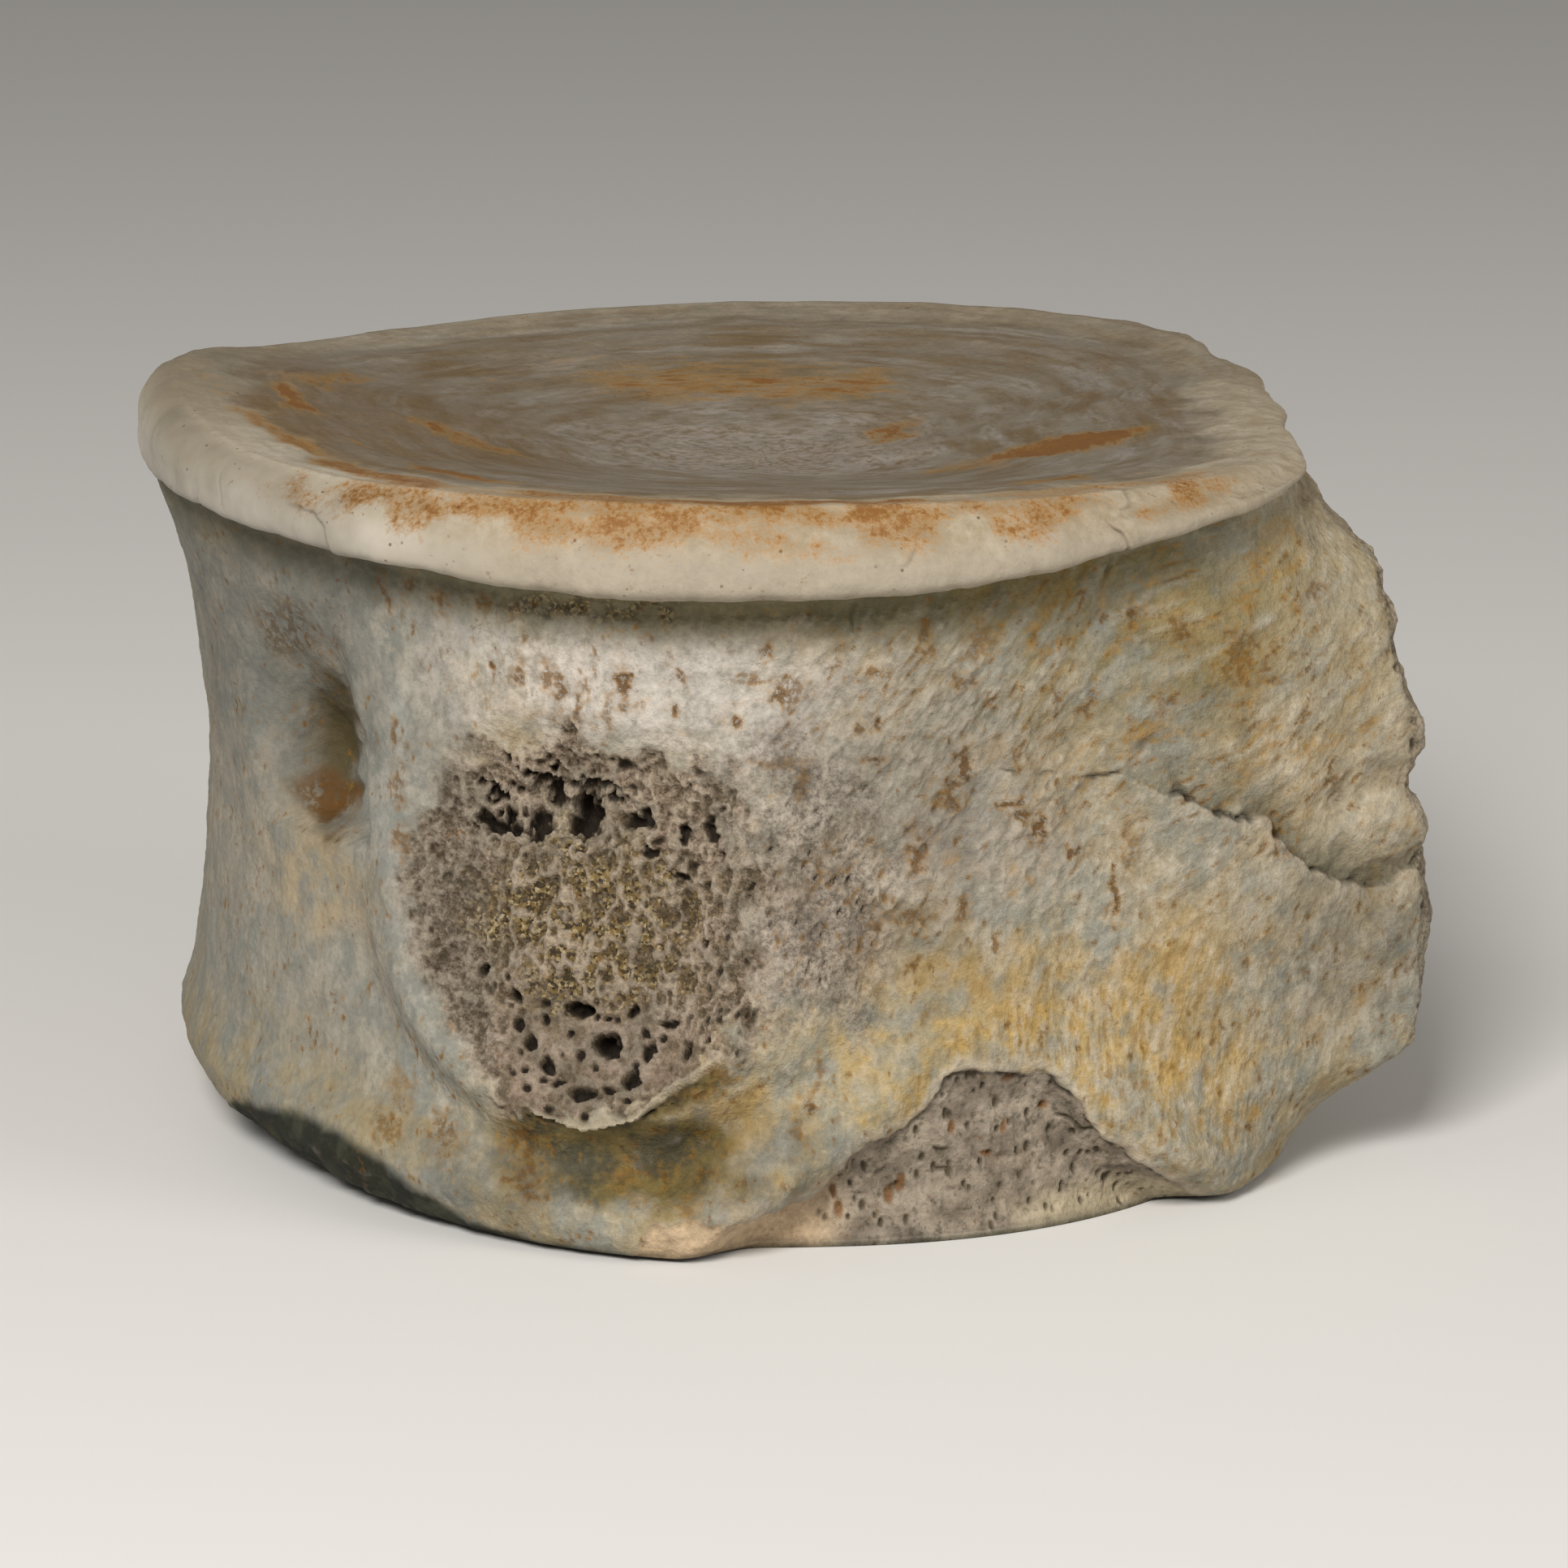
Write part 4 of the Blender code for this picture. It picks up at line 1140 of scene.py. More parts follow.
streaky = on_wall * (1 - scar) * (1 - broken) * (1 - masks["rim"]) * ramp(12.5, 14.5, ring)
low_streaks = patch(x, z, (19, 11), (10, 8)) * near
crowded = 0.75 * patch(x, z, (24, 18), (36, 10), 0.6) + 0.35 * ramp(-5, 8, x)
crowded = 0.10 + crowded * near
smooth_left = 1 - 0.7 * ramp(-17, -24, x) * near
streaks = within(streaky, clouds, fibre / (0.7, 0.7, 0.9), 111, 2, 0.6) * smooth_left
relief += STREAK * streaks * streaky * (1 + 2.5 * low_streaks)
relief += SWELL * clouds(place / 6.0, 113, 3) * on_wall
knobs = within(streaky, clouds, fibre / (0.9, 0.9, 0.35), 118, 3, 0.65)
relief += KNOBBLY * knobs * streaky * (0.6 + 0.6 * crowded) * smooth_left
relief += GRAIN * clouds(place / 0.45, 114, 1) * on_wall * (1 - 0.7 * masks["rim"])
tuft_places = fibre / (TUFT_SIZE, TUFT_SIZE, TUFT_TALL / STRETCH)
tufts = within(streaky * near, clouds, tuft_places, 141, 3, 0.6)
tufts = tufts * (0.3 + 0.7 * ramp(-16, -5, x))
relief += TUFT_HIGH * tufts * streaky * near
flecks = within(streaky, clouds, fibre / (0.55, 0.55, 0.28), 115, 2, 0.6)
clusters = noise(place / 3.6, 119)
flecks = flecks + 0.45 * clusters + 0.24 * crowded - 0.05
clear = streaky * (1 - chipped) * (1 - worn)
halo, core = 0.8 * ramp(0.50, 0.95, flecks) * clear, 0.6 * ramp(0.86, 1.15, flecks) * clear
rags = within(streaky * near, clouds, place / 0.6, 121, 2, 0.6)
for at_x, at_z, half_x, half_z, strength in SPOTS:
    out = np.hypot((x + wander - at_x) / half_x, (z + wander_up - at_z) / half_z) + 0.9 * rags
    halo = np.maximum(halo, ramp(2.2, 0.6, out) * near * (0.4 + 0.6 * strength))
    core = np.maximum(core, ramp(1.1, 0.5, out) * near * strength)
relief -= FLECK_DEPTH * core
masks["halo"], masks["core"] = halo, core
gathered = ramp(-0.05, 0.65, clouds(place / 4.6, 143, 3) + 0.5 * crowded - 0.40)
masks["gold"] = ramp(0.0, -0.50, tufts) * gathered * clear * near
masks["pale"] = ramp(0.05, 0.60, tufts) * clear * near
masks["striae"] = low_streaks

above_floor = ramp(0.0, 1.5, z)
relief *= np.where(ring > FOOT_RING - 1, 0.3 * above_floor, above_floor * 0.8 + 0.2)
print("the skin moves from", round(float(relief.min()), 2), "to", round(float(relief.max()), 2))

# %% [markdown]
# ## Dirt and painted shade in the hollows
# Dark dust and painted shade darken the hollows, and the high spots are rubbed pale and given a
# painted highlight. Comparing each point's relief with the mean around it tells hollows from
# bumps.
# A sliding mean over a grid is cheap when it is made of running sums.

# %% Hollows and high spots
def sliding_mean(grid, half_down, half_round):
    """Mean over a window of the grid, which closes on itself round the bone."""
    wide = np.concatenate([grid[:, -half_round:], grid, grid[:, :half_round]], 1)
    sums = np.cumsum(np.pad(wide, ((0, 0), (1, 0))), 1)
    window = 2 * half_round + 1
    grid = (sums[:, window:] - sums[:, :-window]) / window
    tall = np.pad(grid, ((half_down, half_down), (0, 0)), mode="edge")
    sums = np.cumsum(np.pad(tall, ((1, 0), (0, 0))), 0)
    window = 2 * half_down + 1
    return (sums[window:] - sums[:-window]) / window


def height_over_mean(reach):
    """How far each point stands over the mean of its surroundings, reach mm on each side."""
    halves = [max(round(reach / step * FINENESS), 1) for step in (WALL_STEP, NEAR_STEP)]
    return relief - sliding_mean(relief, *halves)


# Reach of the surroundings, then the depth and the height in mm that count in full, and share
SURROUNDINGS = ((0.6, 0.25, 0.15, 0.6), (2.5, 0.6, 0.5, 0.5))
masks["hollow"] = masks["high"] = 0
for reach, full_depth, full_height, strength in SURROUNDINGS:
    over = height_over_mean(reach)
    masks["hollow"] = masks["hollow"] + strength * np.clip(-over / full_depth, 0, 1)
    masks["high"] = masks["high"] + strength * np.clip(over / full_height, 0, 1)
print("hollows and high spots are", round(float(masks["hollow"].mean()), 2), "and",
      round(float(masks["high"].mean()), 2), "on average")

# %% [markdown]
# ## Where each colour lies
# Most of the bone's colours follow its history: a cream rim with orange-brown arcs, a grey-brown
# joint face, a chalk-white saddle above the scar, ochre low on the right. The olive under the lip
# is partly the bone's tint and partly painted shade, and the pale line on the ridge left of the
# scar is a painted highlight. Some patches are only cooler, mauve or duller than the ground. Each
# is a mask of its own, a soft patch or a line with ragged borders. The patches are rows of one
# table, since they differ only in place and size.

# %% Colour masks
# Patches on the near flank: mask, strength, middle and half across, middle and half up in mm,
# and blur. Where two rows have one mask, the stronger counts.
REGIONS = (
    ("saddle", 1.0, (-10.0, 12.0), (35.0, 4.2), 0.6),
    ("saddle_right", 1.0, (3.5, 9.5), (33.0, 5.0), 0.8),
    ("upper_right", 1.0, (22.0, 19.0), (38.0, 7.5), 0.6),
    ("cool", 1.0, (3.5, 8.5), (29.0, 4.5), 0.6),
    ("cool", 1.0, (11.0, 6.0), (33.5, 3.0), 0.6),
    ("mauve", 1.0, (9.5, 6.0), (25.0, 4.0), 0.7),
    ("mauve", 1.0, (0.5, 5.0), (19.0, 3.0), 0.7),
    ("ochre", 1.0, (9.5, 17.5), (11.0, 7.5), 0.6),
    ("below_vessel", 1.0, (-30.6, 2.8), (20.2, 3.8), 0.6),
    ("dull", 1.0, (6.0, 8.0), (30.5, 5.5), 0.7),
    ("dull", 0.8, (6.5, 5.0), (19.0, 4.0), 0.7),
    ("dull", 0.6, (-0.2, 4.0), (23.5, 4.5), 0.7),
    ("dull", 0.9, (-4.5, 6.5), (6.4, 3.2), 0.7),
    ("dull", 0.9, (-20.0, 4.5), (4.0, 2.4), 0.7),
    ("dull", 1.0, (36.0, 5.0), (16.0, 5.0), 0.7),
)
# A painted highlight along the ridge between the vessel's hole and the scar: distance back from
# the axis, height
RIDGE = ((-25.0, 36), (-25.5, 30), (-26.2, 25), (-25.8, 21), (-23.5, 16))
SAND_LINE_UP = 39.9                 # mm, a thin line of sand under the lip, on the left

for name, strength, across, up, blur in REGIONS:
    region = strength * patch(x, z, across, up, blur) * near
    masks[name] = np.maximum(masks.get(name, 0), region)
for name in ("saddle", "saddle_right", "upper_right", "cool", "mauve"):
    masks[name] *= on_wall
masks["ochre"] *= 1 - chipped
masks["low"] = ramp(12.0, 5.0, z + 2.0 * uneven) * on_wall
masks["left"] = ramp(-17, -24, x + 2 * uneven) * near * on_wall
masks["far_right"] = ramp(25.0, 34.0, x + 2 * uneven) * ramp(15, 21, z) * near * on_wall
ragged_belly = from_belly + 8 * uneven
masks["belly"] = ramp(57, 35, ragged_belly) * ramp(-45, -12, ragged_belly) * on_wall
masks["dull"] = np.maximum.reduce([
    masks["dull"], 0.9 * clean * near, 0.45 * scar * near,
    0.9 * masks["belly"] * ramp(20, 32, z) * near])
gap, _, along = from_line(x + 0.4 * wander, z, RIDGE)
# A painted highlight along the ridge
masks["ridge"] = ramp(1.3, 0.1, gap) * ramp(0, 0.2, along) * ramp(1, 0.7, along) * near
masks["crest_left"] = hump(away(turn, 180), 42) * hump(ring - 9.0, 3.0)
masks["sand"] = (hump(z - SAND_LINE_UP + wander_up, 1.0) * ramp(-120, -116, degrees)
                 * ramp(-100, -104, degrees) * ramp(-0.35, 0.15, noise(place / 1.2, 131)))

print(len(masks), "masks so far")

# %% [markdown]
# ## Arcs of stain
# Iron stained the rim and the joint face in arcs, which follow the old growth rings. Each is a
# band between two turns that may slant from one share of the way out to another. Two noises
# along the rings mottle the face.

# %% Arcs
# Turns in degrees, shares of the way out, half width as a share, strength
ARCS = (
    (-184, -166, 0.950, 0.920, 0.022, 0.5), (-168, -140, 0.915, 0.875, 0.022, 0.9),
    (-146, -118, 0.880, 0.985, 0.030, 1.0), (-140, -118, 0.775, 0.825, 0.018, 1.1),
    (-186, -163, 0.830, 0.780, 0.020, 1.1), (-154, -146, 0.765, 0.750, 0.012, 0.8),
    (-122, -92, 0.960, 0.985, 0.040, 0.9), (-108, -76, 0.975, 0.985, 0.025, 1.1),
    (-80, -46, 0.955, 0.965, 0.030, 0.8), (-64, -26, 0.400, 0.500, 0.040, 0.8),
    (-42, -16, 0.470, 0.720, 0.070, 1.35), (-70, -57, 0.810, 0.810, 0.016, 0.9),
    (50, 128, 0.450, 0.540, 0.080, 0.80), (100, 140, 0.660, 0.660, 0.040, 0.4),
    (146, 180, 0.740, 0.790, 0.035, 0.7), (-180, -146, 0.600, 0.470, 0.035, 0.9),
    (-120, -75, 0.480, 0.440, 0.030, 0.5), (8, 46, 0.240, 0.300, 0.045, 0.9),
)
masks["stain"] = np.zeros_like(x)
for start, end, share_start, share_end, half, strength in ARCS:
    middle_turn, half_turn = (start + end) / 2, (end - start) / 2
    from_middle = away(turn, middle_turn)
    arc_share = share_start + (share_end - share_start) * (from_middle / half_turn + 1) / 2
    arc = hump(share - arc_share + 0.03 * uneven, 2.8 * half)
    arc = arc * ramp(CREST_RING + 3, CREST_RING, ring)
    arc = arc * ramp(1.15, 0.5, np.abs(from_middle) / half_turn)
    masks["stain"] = np.maximum(masks["stain"], strength * arc)
rim_stain = hump(ring - 10.0, 3.4) * ramp(-156, -130, degrees) * ramp(-40, -58, degrees)
rim_stain *= 0.90 * ramp(-1.0, 0.4, clouds(place / 4, 133, 2))
masks["stain"] = np.maximum(masks["stain"], rim_stain)
masks["dish_left"] = hump(away(turn, 190), 60) * ramp(0.25, 0.5, share) * ramp(0.98, 0.85, share)
masks["dish_middle"] = ramp(0.45, 0.15, share + 0.1 * uneven) * on_face
masks["blotch"] = ramp(-0.1, 0.6, noise(ringwise / (2.2, 2.2, 4.5), 135)) * on_face
masks["grey_rings"] = ramp(0.0, 0.6, noise(ringwise / (1.6, 1.6, 2.2), 137)) * on_face
print(len(masks), "masks")

# %% [markdown]
# ## The mesh
# The moved grid becomes one closed mesh, with a point at either pole. Its masks and its grain
# ride along as attributes of the points, where the finish can read them. The foot is cut off
# flat at the floor.

# %% Mesh
moved = smooth + facing * relief[..., None]
moved[..., 2] = np.maximum(moved[..., 2], 0)
moved[..., 2] += solid_low[2] / MM


def grid_mesh(name, points):
    """A mesh from rings of points, closed by a point at each pole."""
    down, around = points.shape[:2]
    poles = points[[0, -1]].mean(1)
    every = np.concatenate([points.reshape(-1, 3), poles]) * MM
    index = np.arange(down * around).reshape(down, around)
    after = np.roll(index, -1, 1)
    quads = np.stack([index[:-1], index[1:], after[1:], after[:-1]], -1).reshape(-1, 4)
    top = np.stack([np.full(around, down * around), index[0], after[0]], -1)
    bottom = np.stack([np.full(around, down * around + 1), after[-1], index[-1]], -1)
    corners = np.concatenate([quads.ravel(), top.ravel(), bottom.ravel()]).astype(np.int32)
    sizes = np.concatenate([np.full(len(quads), 4), np.full(2 * around, 3)])
    starts = sums_so_far(sizes)[:-1].astype(np.int32)

    mesh = bpy.data.meshes.new(name)
    mesh.vertices.add(len(every))
    mesh.vertices.foreach_set("co", every.astype(np.float32).ravel())
    mesh.loops.add(len(corners))
    mesh.loops.foreach_set("vertex_index", corners)
    mesh.polygons.add(len(sizes))
    mesh.polygons.foreach_set("loop_start", starts)
    mesh.update(calc_edges=True)
    mesh.validate()
    mesh.shade_smooth()
    return mesh, corners, sizes


def add_values(mesh, name, grid):
    """One number or one vector for each point, the poles taking the mean of their ring."""
    flat = grid.reshape(-1, *grid.shape[2:])
    every = np.concatenate([flat, grid[[0, -1]].mean(1)]).astype(np.float32)
    kind, key = ("FLOAT", "value") if grid.ndim == 2 else ("FLOAT_VECTOR", "vector")
    mesh.attributes.new(name, kind, "POINT").data.foreach_set(key, every.ravel())


mesh, corners, face_sizes = grid_mesh("bone_skin", moved)
for name, grid in masks.items():
    add_values(mesh, name, grid)
add_values(mesh, "fibre", fibre)
add_values(mesh, "ringwise", ringwise)
bone = bpy.data.objects.new("bone_skin", mesh)
bpy.context.scene.collection.objects.link(bone)
print(len(mesh.vertices), "points,", len(mesh.polygons), "faces")

# %% [markdown]
# ## Unwrapping
# The wall is cut into three strips, away from the middle of the side that is looked at, and each
# joint face is a disc. A strip nearly keeps its length and width in millimetres, so the texture
# has about one scale all over.

# %% Unwrapping
SHEET = 192.0                       # mm, side of the sheet that all islands share
STRIP_FROM, STRIP_TURN = -150.0, 120.0   # degrees
STRIP_WIDE, DISC_HALF, ISLAND_GAP = 94.0, 45.0, 2.0


def unwrap(mesh, corners, sizes):
    """Strips of the wall on the left of the sheet, the two joint faces on the right."""
    down, around = ring.shape
    row = np.concatenate([np.repeat(np.arange(down), around), [0, down - 1]])[corners]
    column = np.concatenate([np.tile(np.arange(around), down), [0, 0]])[corners]
    at_ring, at_turn = rings[row], np.degrees(turns)[column]
    face = np.repeat(np.arange(len(sizes)), sizes)
    first = sums_so_far(sizes)[:-1]
    face_ring = (np.add.reduceat(at_ring, first) / sizes)[face]
    lead = at_turn[first][face]
    at_turn = lead + (at_turn - lead + 180) % 360 - 180

    probe = np.linspace(CREST_RING, FOOT_RING, 401)
    length = ring_lengths(probe)
    tall = length[-1]
    down_mm = np.interp(at_ring, probe, length)
    past_cut = (lead - STRIP_FROM) % 360
    strip = np.floor(past_cut / STRIP_TURN)
    along = past_cut - strip * STRIP_TURN + at_turn - lead
    u = ISLAND_GAP + along / STRIP_TURN * STRIP_WIDE
    v = ISLAND_GAP + strip * (tall + ISLAND_GAP) + tall - down_mm

    upper = face_ring < CREST_RING
    lower = face_ring > FOOT_RING
    reach = np.where(upper, at_ring / CREST_RING, (RINGS - at_ring) / (RINGS - FOOT_RING))
    pole = corners >= down * around
    reach = np.where(pole, 0, reach) * DISC_HALF
    turned = np.radians(at_turn) * np.where(lower, -1, 1)
    disc_u = STRIP_WIDE + 3 * ISLAND_GAP + DISC_HALF + reach * np.cos(turned)
    disc_v = ISLAND_GAP + DISC_HALF + reach * np.sin(turned)
    disc_v = disc_v + np.where(lower, 2 * DISC_HALF + ISLAND_GAP, 0)
    u, v = np.where(upper | lower, disc_u, u), np.where(upper | lower, disc_v, v)
    layer = mesh.uv_layers.new(name="OFBake")
    layer.data.foreach_set("uv", (np.stack([u, v], -1) / SHEET).astype(np.float32).ravel())
    return u.max(), v.max()


print("islands reach to", np.round(unwrap(mesh, corners, face_sizes), 1), "mm")

# %% [markdown]
# ## A small language for finishes
# A finish is a long sum of masks and noises. Written node by node it would fill pages, so a
# small class wraps a socket and lets plain arithmetic add the nodes. One method adds any other
# node, with its settings first and its sockets after. Another lays coats of colour over one
# another from a table, as most of the finish is made of them.

# %% Finish helper
def arithmetic(operation, swapped=False):
    """A method that adds a maths node for a wire and another value, in order or swapped."""
    def method(self, other):
        first, second = (other, self) if swapped else (self, other)
        return self.finish.node("Math", {"operation": operation}, {0: first, 1: second})
    return method


class Wire:
    """A value on its way through a finish, which can be summed, scaled and compared."""

    __add__ = __radd__ = arithmetic("ADD")
    __sub__, __rsub__ = arithmetic("SUBTRACT"), arithmetic("SUBTRACT", swapped=True)
    __mul__ = __rmul__ = arithmetic("MULTIPLY")
    larger = arithmetic("MAXIMUM")

    def __init__(self, finish, socket):
        self.finish, self.socket = finish, socket

    def ramp(self, low, high):
        """0 at low, 1 at high, with a smooth step between."""
        sockets = {"Value": self, "From Min": low, "From Max": high}
        return self.finish.node("MapRange", {"interpolation_type": "SMOOTHSTEP"}, sockets)


class Finish:
    """A material's nodes, added one by one."""

    def __init__(self, name):
        self.material = bpy.data.materials.new(name)
        self.material.use_nodes = True
        self.tree = self.material.node_tree
        self.shader = self.tree.nodes["Principled BSDF"]

    def node(self, kind, settings=None, sockets=None, out=0):
        made = self.tree.nodes.new("ShaderNode" + kind)
        for name, value in (settings or {}).items():
            setattr(made, name, value)
        for name, value in (sockets or {}).items():
            self.join(value, made.inputs[name])
        return Wire(self, made.outputs[out])

    def join(self, value, socket):
        if isinstance(value, Wire):
            self.tree.links.new(value.socket, socket)
        else:
            socket.default_value = value

    def tell(self):
        print(len(self.tree.nodes), "nodes so far")

    def mask(self, name, out="Fac"):
        return self.node("Attribute", {"attribute_name": name}, out=out)

    def blend(self, share, first, second):
        """The first colour where the share is 0, the second where it is 1."""
        sockets = {0: share, 6: linear(first), 7: linear(second)}
        return self.node("Mix", {"data_type": "RGBA"}, sockets, 2)

    def between(self, pattern, low, high, first, second):
        """The first colour where the pattern is low, the second where it is high."""
        return self.blend(pattern.ramp(low, high), first, second)

    def lay(self, colour, coats):
        """Coats over a colour: where, how strong, which colour, and what breaks the coat up."""
        for where, strength, over, *broken_by in coats:
            share = (self.mask(where) if isinstance(where, str) else where) * strength
            if broken_by:
                pattern, low, high = broken_by
                share = share * pattern.ramp(low, high)
            colour = self.blend(share, colour, over)
        return colour

    def cloud(self, places, size, detail=3, rough=0.55):
        """Noise about 0.5, with features of a size in the units of its places."""
        sockets = {"Vector": places, "Scale": 1 / size, "Detail": detail, "Roughness": rough}
        return self.node("TexNoise", None, sockets)


def linear(colour):
    """A colour as a screen shows it, from 0 to 255, made linear for a socket."""
    if isinstance(colour, Wire):
        return colour
    return (*(((n / 255 + 0.055) / 1.055) ** 2.4 for n in colour), 1)


CREAM, OLIVE, UMBER = (206, 193, 172), (106, 97, 52), (38, 27, 17)
RUST, GOLDEN, BARK = (140, 88, 28), (158, 114, 36), (94, 60, 16)
print("cream is", np.round(linear(CREAM), 2))

# %% [markdown]
# ## The bone's finish
# Fossil bone is never one colour. The colours are laid on in coats, as a model painter would:
# each coat has a mask that says where, a strength and a colour, and most are broken up by one of
# a few noises, so that no border is clean. The ground comes first, a mottle of greys and creams.
# Each region's own colour lies over it, and then fine streaks along the grain.

# %% Ground colours
bone_finish = Finish("bone_surface")
mask, cloud, blend = bone_finish.mask, bone_finish.cloud, bone_finish.blend
between, lay = bone_finish.between, bone_finish.lay
object_place = bone_finish.node("TexCoord", out="Object")
spot = bone_finish.node("VectorMath", {"operation": "SCALE"}, {0: object_place, "Scale": 1 / MM})
grain, circles = mask("fibre", "Vector"), mask("ringwise", "Vector")

broad, middling, fine = cloud(spot, 8.0), cloud(spot, 2.2, 4, 0.6), cloud(spot, 0.7, 3, 0.65)
crumb = cloud(spot, 0.34, 3, 0.75)
streak, long_streak = cloud(grain, 0.5, 3, 0.65), cloud(grain, 1.7, 4, 0.65)
patchy = middling * 0.4 + long_streak * 0.15 + broad * 0.45
soft = middling * 0.6 + fine * 0.4
pale = middling * 0.6 + long_streak * 0.1 + fine * 0.3
chalky = long_streak * 0.5 + fine * 0.5
lines = 0.10 + mask("striae") * 0.50 - mask("left") * 0.08
olive_ground = between(broad, 0.42, 0.58, (124, 112, 70), (150, 132, 84))
ochre = between(patchy, 0.40, 0.58, (196, 178, 134), (200, 164, 92))

# Mask or share, strength, colour, then the noise that breaks it up and where it shows
colour = lay(between(patchy, 0.40, 0.60, (164, 162, 147), (188, 169, 134)), (
    (pale.ramp(0.48, 0.62), 0.6, (198, 190, 174)),
    # A painted highlight along the ridge left of the scar
    ("left", 0.75, between(soft, 0.42, 0.58, (150, 151, 142), (182, 177, 164))),
    ("ridge", 0.5, (206, 206, 198)),
    ("belly", 0.7, between(patchy, 0.42, 0.64, (150, 150, 141), (166, 157, 141))),
    ("cool", 0.6, between(middling, 0.42, 0.58, (160, 160, 148), (190, 188, 178))),
    ("mauve", 0.6, (166, 154, 140)),
    ("low", 0.7, (168, 150, 104), patchy, 0.40, 0.60),
    ("upper_right", 0.85, olive_ground, patchy, 0.34, 0.54),
    ("far_right", 0.5, (202, 184, 150)),
    ("saddle_right", 0.8, CREAM, streak, 0.36, 0.60),
    ("below_vessel", 0.8, (190, 168, 130), patchy, 0.34, 0.52),
    ("saddle", 0.9, between(chalky, 0.38, 0.52, (186, 178, 164), (216, 207, 196))),
    ("ochre", 0.9, ochre, patchy, 0.34, 0.54),
    ("pale", 0.30, (200, 195, 182)),
    ("gold", 0.75, (166, 128, 62), fine, 0.36, 0.58),
    (lines, 1, CREAM, streak, 0.50, 0.66),
    (lines, 1, (158, 124, 70), streak, 0.50, 0.34),
))
bone_finish.tell()

# %% [markdown]
# ## The joint face and the rim
# The joint face is grey-brown, ringed, and paler in its middle. The rim is cream, and it is
# painted paler along its lower edge and at its left end, a painted highlight where the lamp's
# light falls off to the left. Noise that follows the rings draws the one, plain noise mottles the
# other.

# %% Face and rim colours
ring_streak, ring_fine = cloud(circles, 1.6, 4, 0.6), cloud(circles, 0.6, 3, 0.6)
face = lay(between(ring_streak, 0.30, 0.62, (134, 116, 88), (150, 138, 120)), (
    ("grey_rings", 0.55, (176, 168, 158), ring_fine, 0.40, 0.60),
    ("blotch", 0.7, (128, 104, 68), ring_streak, 0.66, 0.36),
    ("dish_left", 0.5, (128, 100, 60)),
    ("dish_middle", 0.6, (186, 174, 162), ring_fine, 0.35, 0.60),
))
plain = middling * 0.5 + fine * 0.3 + broad * 0.2
rim = lay(between(plain, 0.40, 0.60, (184, 166, 136), (202, 188, 164)), (
    # The rim's left end is painted lighter, a painted highlight where the lamp's light falls off
    ("rim_left", 0.6, (214, 204, 184)),
    ("crest_left", 0.7, (136, 118, 86)),
    # The lip's lower edge gets a paler painted highlight, whitest on the left
    ("rim_edge", 0.9, blend(mask("rim_left"), (184, 172, 152), (222, 214, 200))),
))
# Under the lip the olive band is partly the bone's tint and partly painted shade
colour = lay(colour, (("face", 1, face), ("rim", 1, rim), ("underlip", 0.8, OLIVE)))
bone_finish.tell()

# %% [markdown]
# ## Stains of iron
# Iron left orange-brown arcs, granular on the rim and drawn out along the rings on the face, and
# dark pinpricks in the rim. A mask says where an arc may be. Noise is added to it and only what
# passes a threshold shows, so that an arc breaks up into grains at its border, as a stain does.

# %% Stains
STAIN_MISSING, FACE_MISSING = 2.68, 0.42     # what mask and noise have to come up to
PRICK_GAP = 1.1                              # mm from one pinprick to the next

on_dish = mask("face")
mottle = on_dish * (ring_streak * 0.6 + ring_fine * 0.9)
mottle = mottle + (1 - on_dish) * (middling + fine) * 0.5
grainy = crumb - on_dish * (crumb - 0.4) * 0.6
stained = mask("stain") * 1.6 + mottle * 2.4 + grainy * 1.8
stained = stained - STAIN_MISSING - on_dish * FACE_MISSING
pricks = {"Vector": spot, "Scale": 1 / PRICK_GAP}
pricks = bone_finish.node("TexVoronoi", None, pricks, "Distance").ramp(0.13, 0.07)
colour = lay(colour, (
    (stained.ramp(0.0, 1.0), 0.8, blend(on_dish, (180, 128, 54), (172, 132, 70))),
    (stained.ramp(0.65, 1.2), 0.8, RUST),
    (pricks * mask("rim"), 0.8, (104, 72, 36), middling, 0.48, 0.58),
))
bone_finish.tell()

# %% [markdown]
# ## Spongy bone and sand
# Bare spongy bone is pinkish grey, with dark crumbs in its hollows and pale threads over them.
# Sand fills the middle of the scar. Each grain is a cell of scattered points, and the cell's own
# random colour picks one of three tones for it.

# %% Colours of the spongy bone
SAND_SIZE = 0.20                             # mm

spongy = (mask("scar") * (1 - mask("clean") * 0.6)).larger(mask("porous") * 0.7)
deep = (mask("scar") - mask("clean")).ramp(0.0, 1.0) * (1 - mask("web"))
sand = bone_finish.node("TexVoronoi", None, {"Vector": spot, "Scale": 1 / SAND_SIZE}, "Color")
sand_pick = bone_finish.node("SeparateColor", None, {"Color": sand}, "Red")
grains = between(sand_pick, 0.30, 0.50, (58, 46, 24), (146, 118, 62))
grains = between(sand_pick, 0.66, 0.90, grains, (204, 184, 140))
sand_share = mask("sandy") * (1 - mask("web") * 0.8)
colour = lay(colour, (
    ("scar", 0.92, between(middling, 0.40, 0.60, (146, 126, 102), (188, 164, 142))),
    ("porous", 0.7, between(middling, 0.40, 0.60, (140, 126, 112), (170, 156, 142))),
    ("slope", 0.6, (136, 128, 116)),
    (spongy, 0.7, (80, 64, 42), crumb, 0.52, 0.40),
    (spongy, 0.5, (212, 196, 174), crumb, 0.54, 0.66),
    (deep, 0.25, (84, 70, 44)),
    (sand_share, 0.9, grains, soft, 0.40, 0.50),
    ("web", 0.35, (206, 188, 164)),
    ("sand", 0.9, blend(0.35, grains, UMBER)),
    (mask("nodule").ramp(0.3, 0.9), 0.30, CREAM),
    ("broken", 0.8, between(crumb, 0.4, 0.6, (108, 92, 70), (168, 152, 128))),
))
bone_finish.tell()
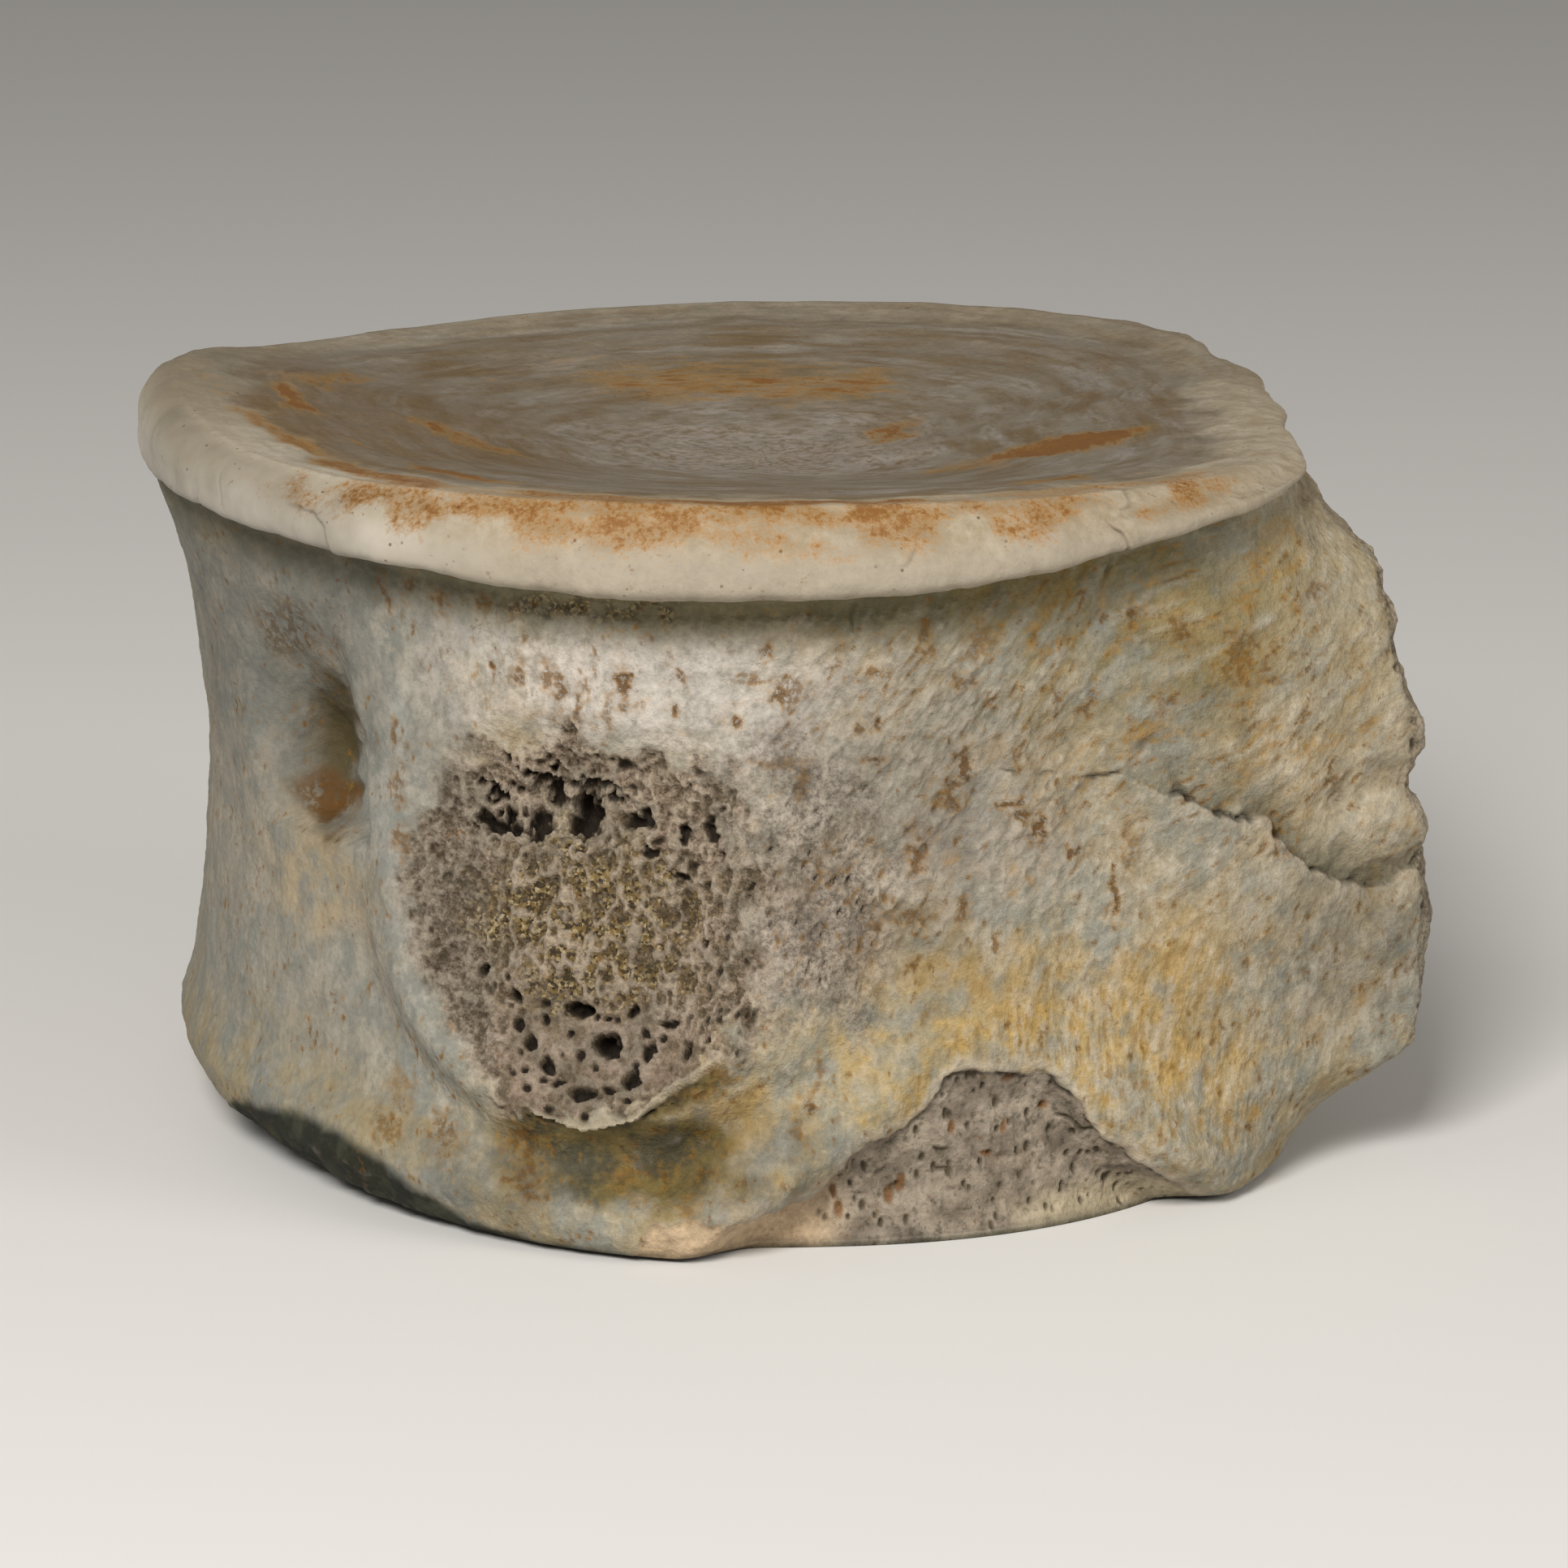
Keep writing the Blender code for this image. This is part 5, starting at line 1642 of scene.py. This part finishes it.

# %% [markdown]
# ## Shaded places and the broken foot
# The hollow below the scar gets an olive painted shade, and the vessel's groove is brown with a
# rusty end. Fresh broken bone in the chip is greyer than the skin round it, and cream at its left
# end and foot. The worn slope is painted nearly black as painted shade, and the sunk band above
# the crack gets a painted shade too. The chip has coats of its own, so it is mixed apart and laid
# on whole.

# %% Colours of the hollow, the groove and the foot
speckled = fine * 0.6 + crumb * 0.4
inside_chip = lay(between(middling, 0.38, 0.62, (134, 120, 104), (172, 158, 140)), (
    (speckled.ramp(0.46, 0.38), 0.55, (84, 78, 58)),
    ("chip_low", 0.7, (206, 190, 156)),
    ("chip_left", 0.9, (226, 196, 158)),
    ("slits", 0.9, (74, 62, 44)),
    ("chip_rust", 0.85, RUST),
))
shaded = between(middling, 0.40, 0.60, (66, 58, 20), (116, 98, 42))
colour = lay(colour, (
    # Olive painted shade in the hollow under the scar's lip
    (mask("drop").ramp(0.1, 0.8), 0.85, shaded),
    ("vessel", 0.92, (88, 72, 26), middling, 0.20, 0.40),
    ("vessel_patch", 0.75, (112, 90, 58), fine, 0.42, 0.56),
    ("vessel_rust", 0.9, (108, 70, 16), fine, 0.34, 0.50),
    ("chip", 0.92, inside_chip),
    ("chip_edge", 0.6, CREAM),
    # The worn slope, painted nearly black as painted shade
    ("worn", 0.95, between(middling, 0.45, 0.62, (34, 37, 26), (60, 64, 48))),
    # The sunk band above the crack, painted olive as painted shade
    ("valley", 0.55, (112, 106, 78)),
    ("lip", 0.9, (214, 198, 166)),
))
bone_finish.tell()

# %% [markdown]
# ## Specks, dirt and painted shade
# Specks of rust lie anywhere, golden halos and dark cores mark the flecks and spots, and dust and
# painted shade darken the hollows while the high spots are rubbed pale and given a painted
# highlight. Holes and cracks are painted dark umber as painted shade. Dirt and painted shade come
# last, because they lie on all the rest.

# %% Specks, dirt and painted shade
speck = cloud(spot, 0.6, 3, 0.7) * 0.65 + cloud(spot, 4.0, 2) * 0.35
# Dark dust and painted shade in the hollows
dust_and_shade = mask("hollow").ramp(0.10, 0.8) * (0.30 + spongy * 0.3)
colour = lay(colour, (
    (speck.ramp(0.60, 0.67), 0.6, between(fine, 0.45, 0.6, RUST, (116, 92, 52))),
    ("halo", 0.85, GOLDEN, crumb, 0.38, 0.56),
    ("core", 0.85, BARK, crumb, 0.30, 0.50),
    (dust_and_shade, 1, (88, 74, 50)),
    # High spots rubbed pale, with a painted highlight
    (mask("high").ramp(0.15, 0.8), 0.35, CREAM),
    # Holes, pores, slits and the chip's gap are painted dark umber as painted shade
    (mask("hole").ramp(0.1, 0.9), 0.92, UMBER),
    # Cracks and the line under the lifted flake, painted dark umber as painted shade
    ("crack", 0.75, UMBER),
))
bone_finish.tell()

# %% [markdown]
# ## Depth of tone, sheen and fine grain
# Real bone is full of small shades that no coat gives, so a last factor darkens and lightens it
# by fine noise, less on the calm rim and the left flank. Bone is matt. The finest grain is
# only a bump, since a mesh fine enough to hold it would be far too heavy.

# %% Tone, sheen and grain
BRIGHT, MEAN_DETAIL, DULLED = 0.65, 0.68, 0.30     # the factor, its noise's mean, lost where dull
MATT, SPECULAR = 0.60, 0.26
BUMP_STRENGTH, BUMP_HIGH = 0.6, 0.25 * MM

calm = 1 - mask("rim") * 0.65 - mask("face") * 0.45 - mask("belly").larger(mask("left")) * 0.45
detail = fine * 0.46 + middling * 0.44 + crumb * 0.46 - MEAN_DETAIL
shade = (BRIGHT + detail * calm) * (1 - mask("dull") * DULLED)
colour = bone_finish.node("VectorMath", {"operation": "SCALE"}, {0: colour, "Scale": shade})
matt = MATT + fine * 0.18 + mask("scar") * 0.15 + mask("worn") * 0.3 - mask("rim") * 0.08
bumps = (crumb + fine * 0.9) * calm + crumb * mask("scar")
bumps = bumps + streak * (1 - mask("rim") - mask("face") - mask("left") * 0.9) * calm * 0.4
sockets = {"Height": bumps, "Strength": BUMP_STRENGTH, "Distance": BUMP_HIGH}
surface = {
    "Base Color": colour, "Roughness": matt, "Specular IOR Level": SPECULAR,
    "Normal": bone_finish.node("Bump", None, sockets),
}
for name, value in surface.items():
    bone_finish.join(value, bone_finish.shader.inputs[name])
mesh.materials.append(bone_finish.material)
bone_finish.tell()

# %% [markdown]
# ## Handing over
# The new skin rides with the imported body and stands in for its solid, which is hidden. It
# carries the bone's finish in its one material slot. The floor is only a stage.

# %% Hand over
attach(bone, "root")
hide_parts(NODE)
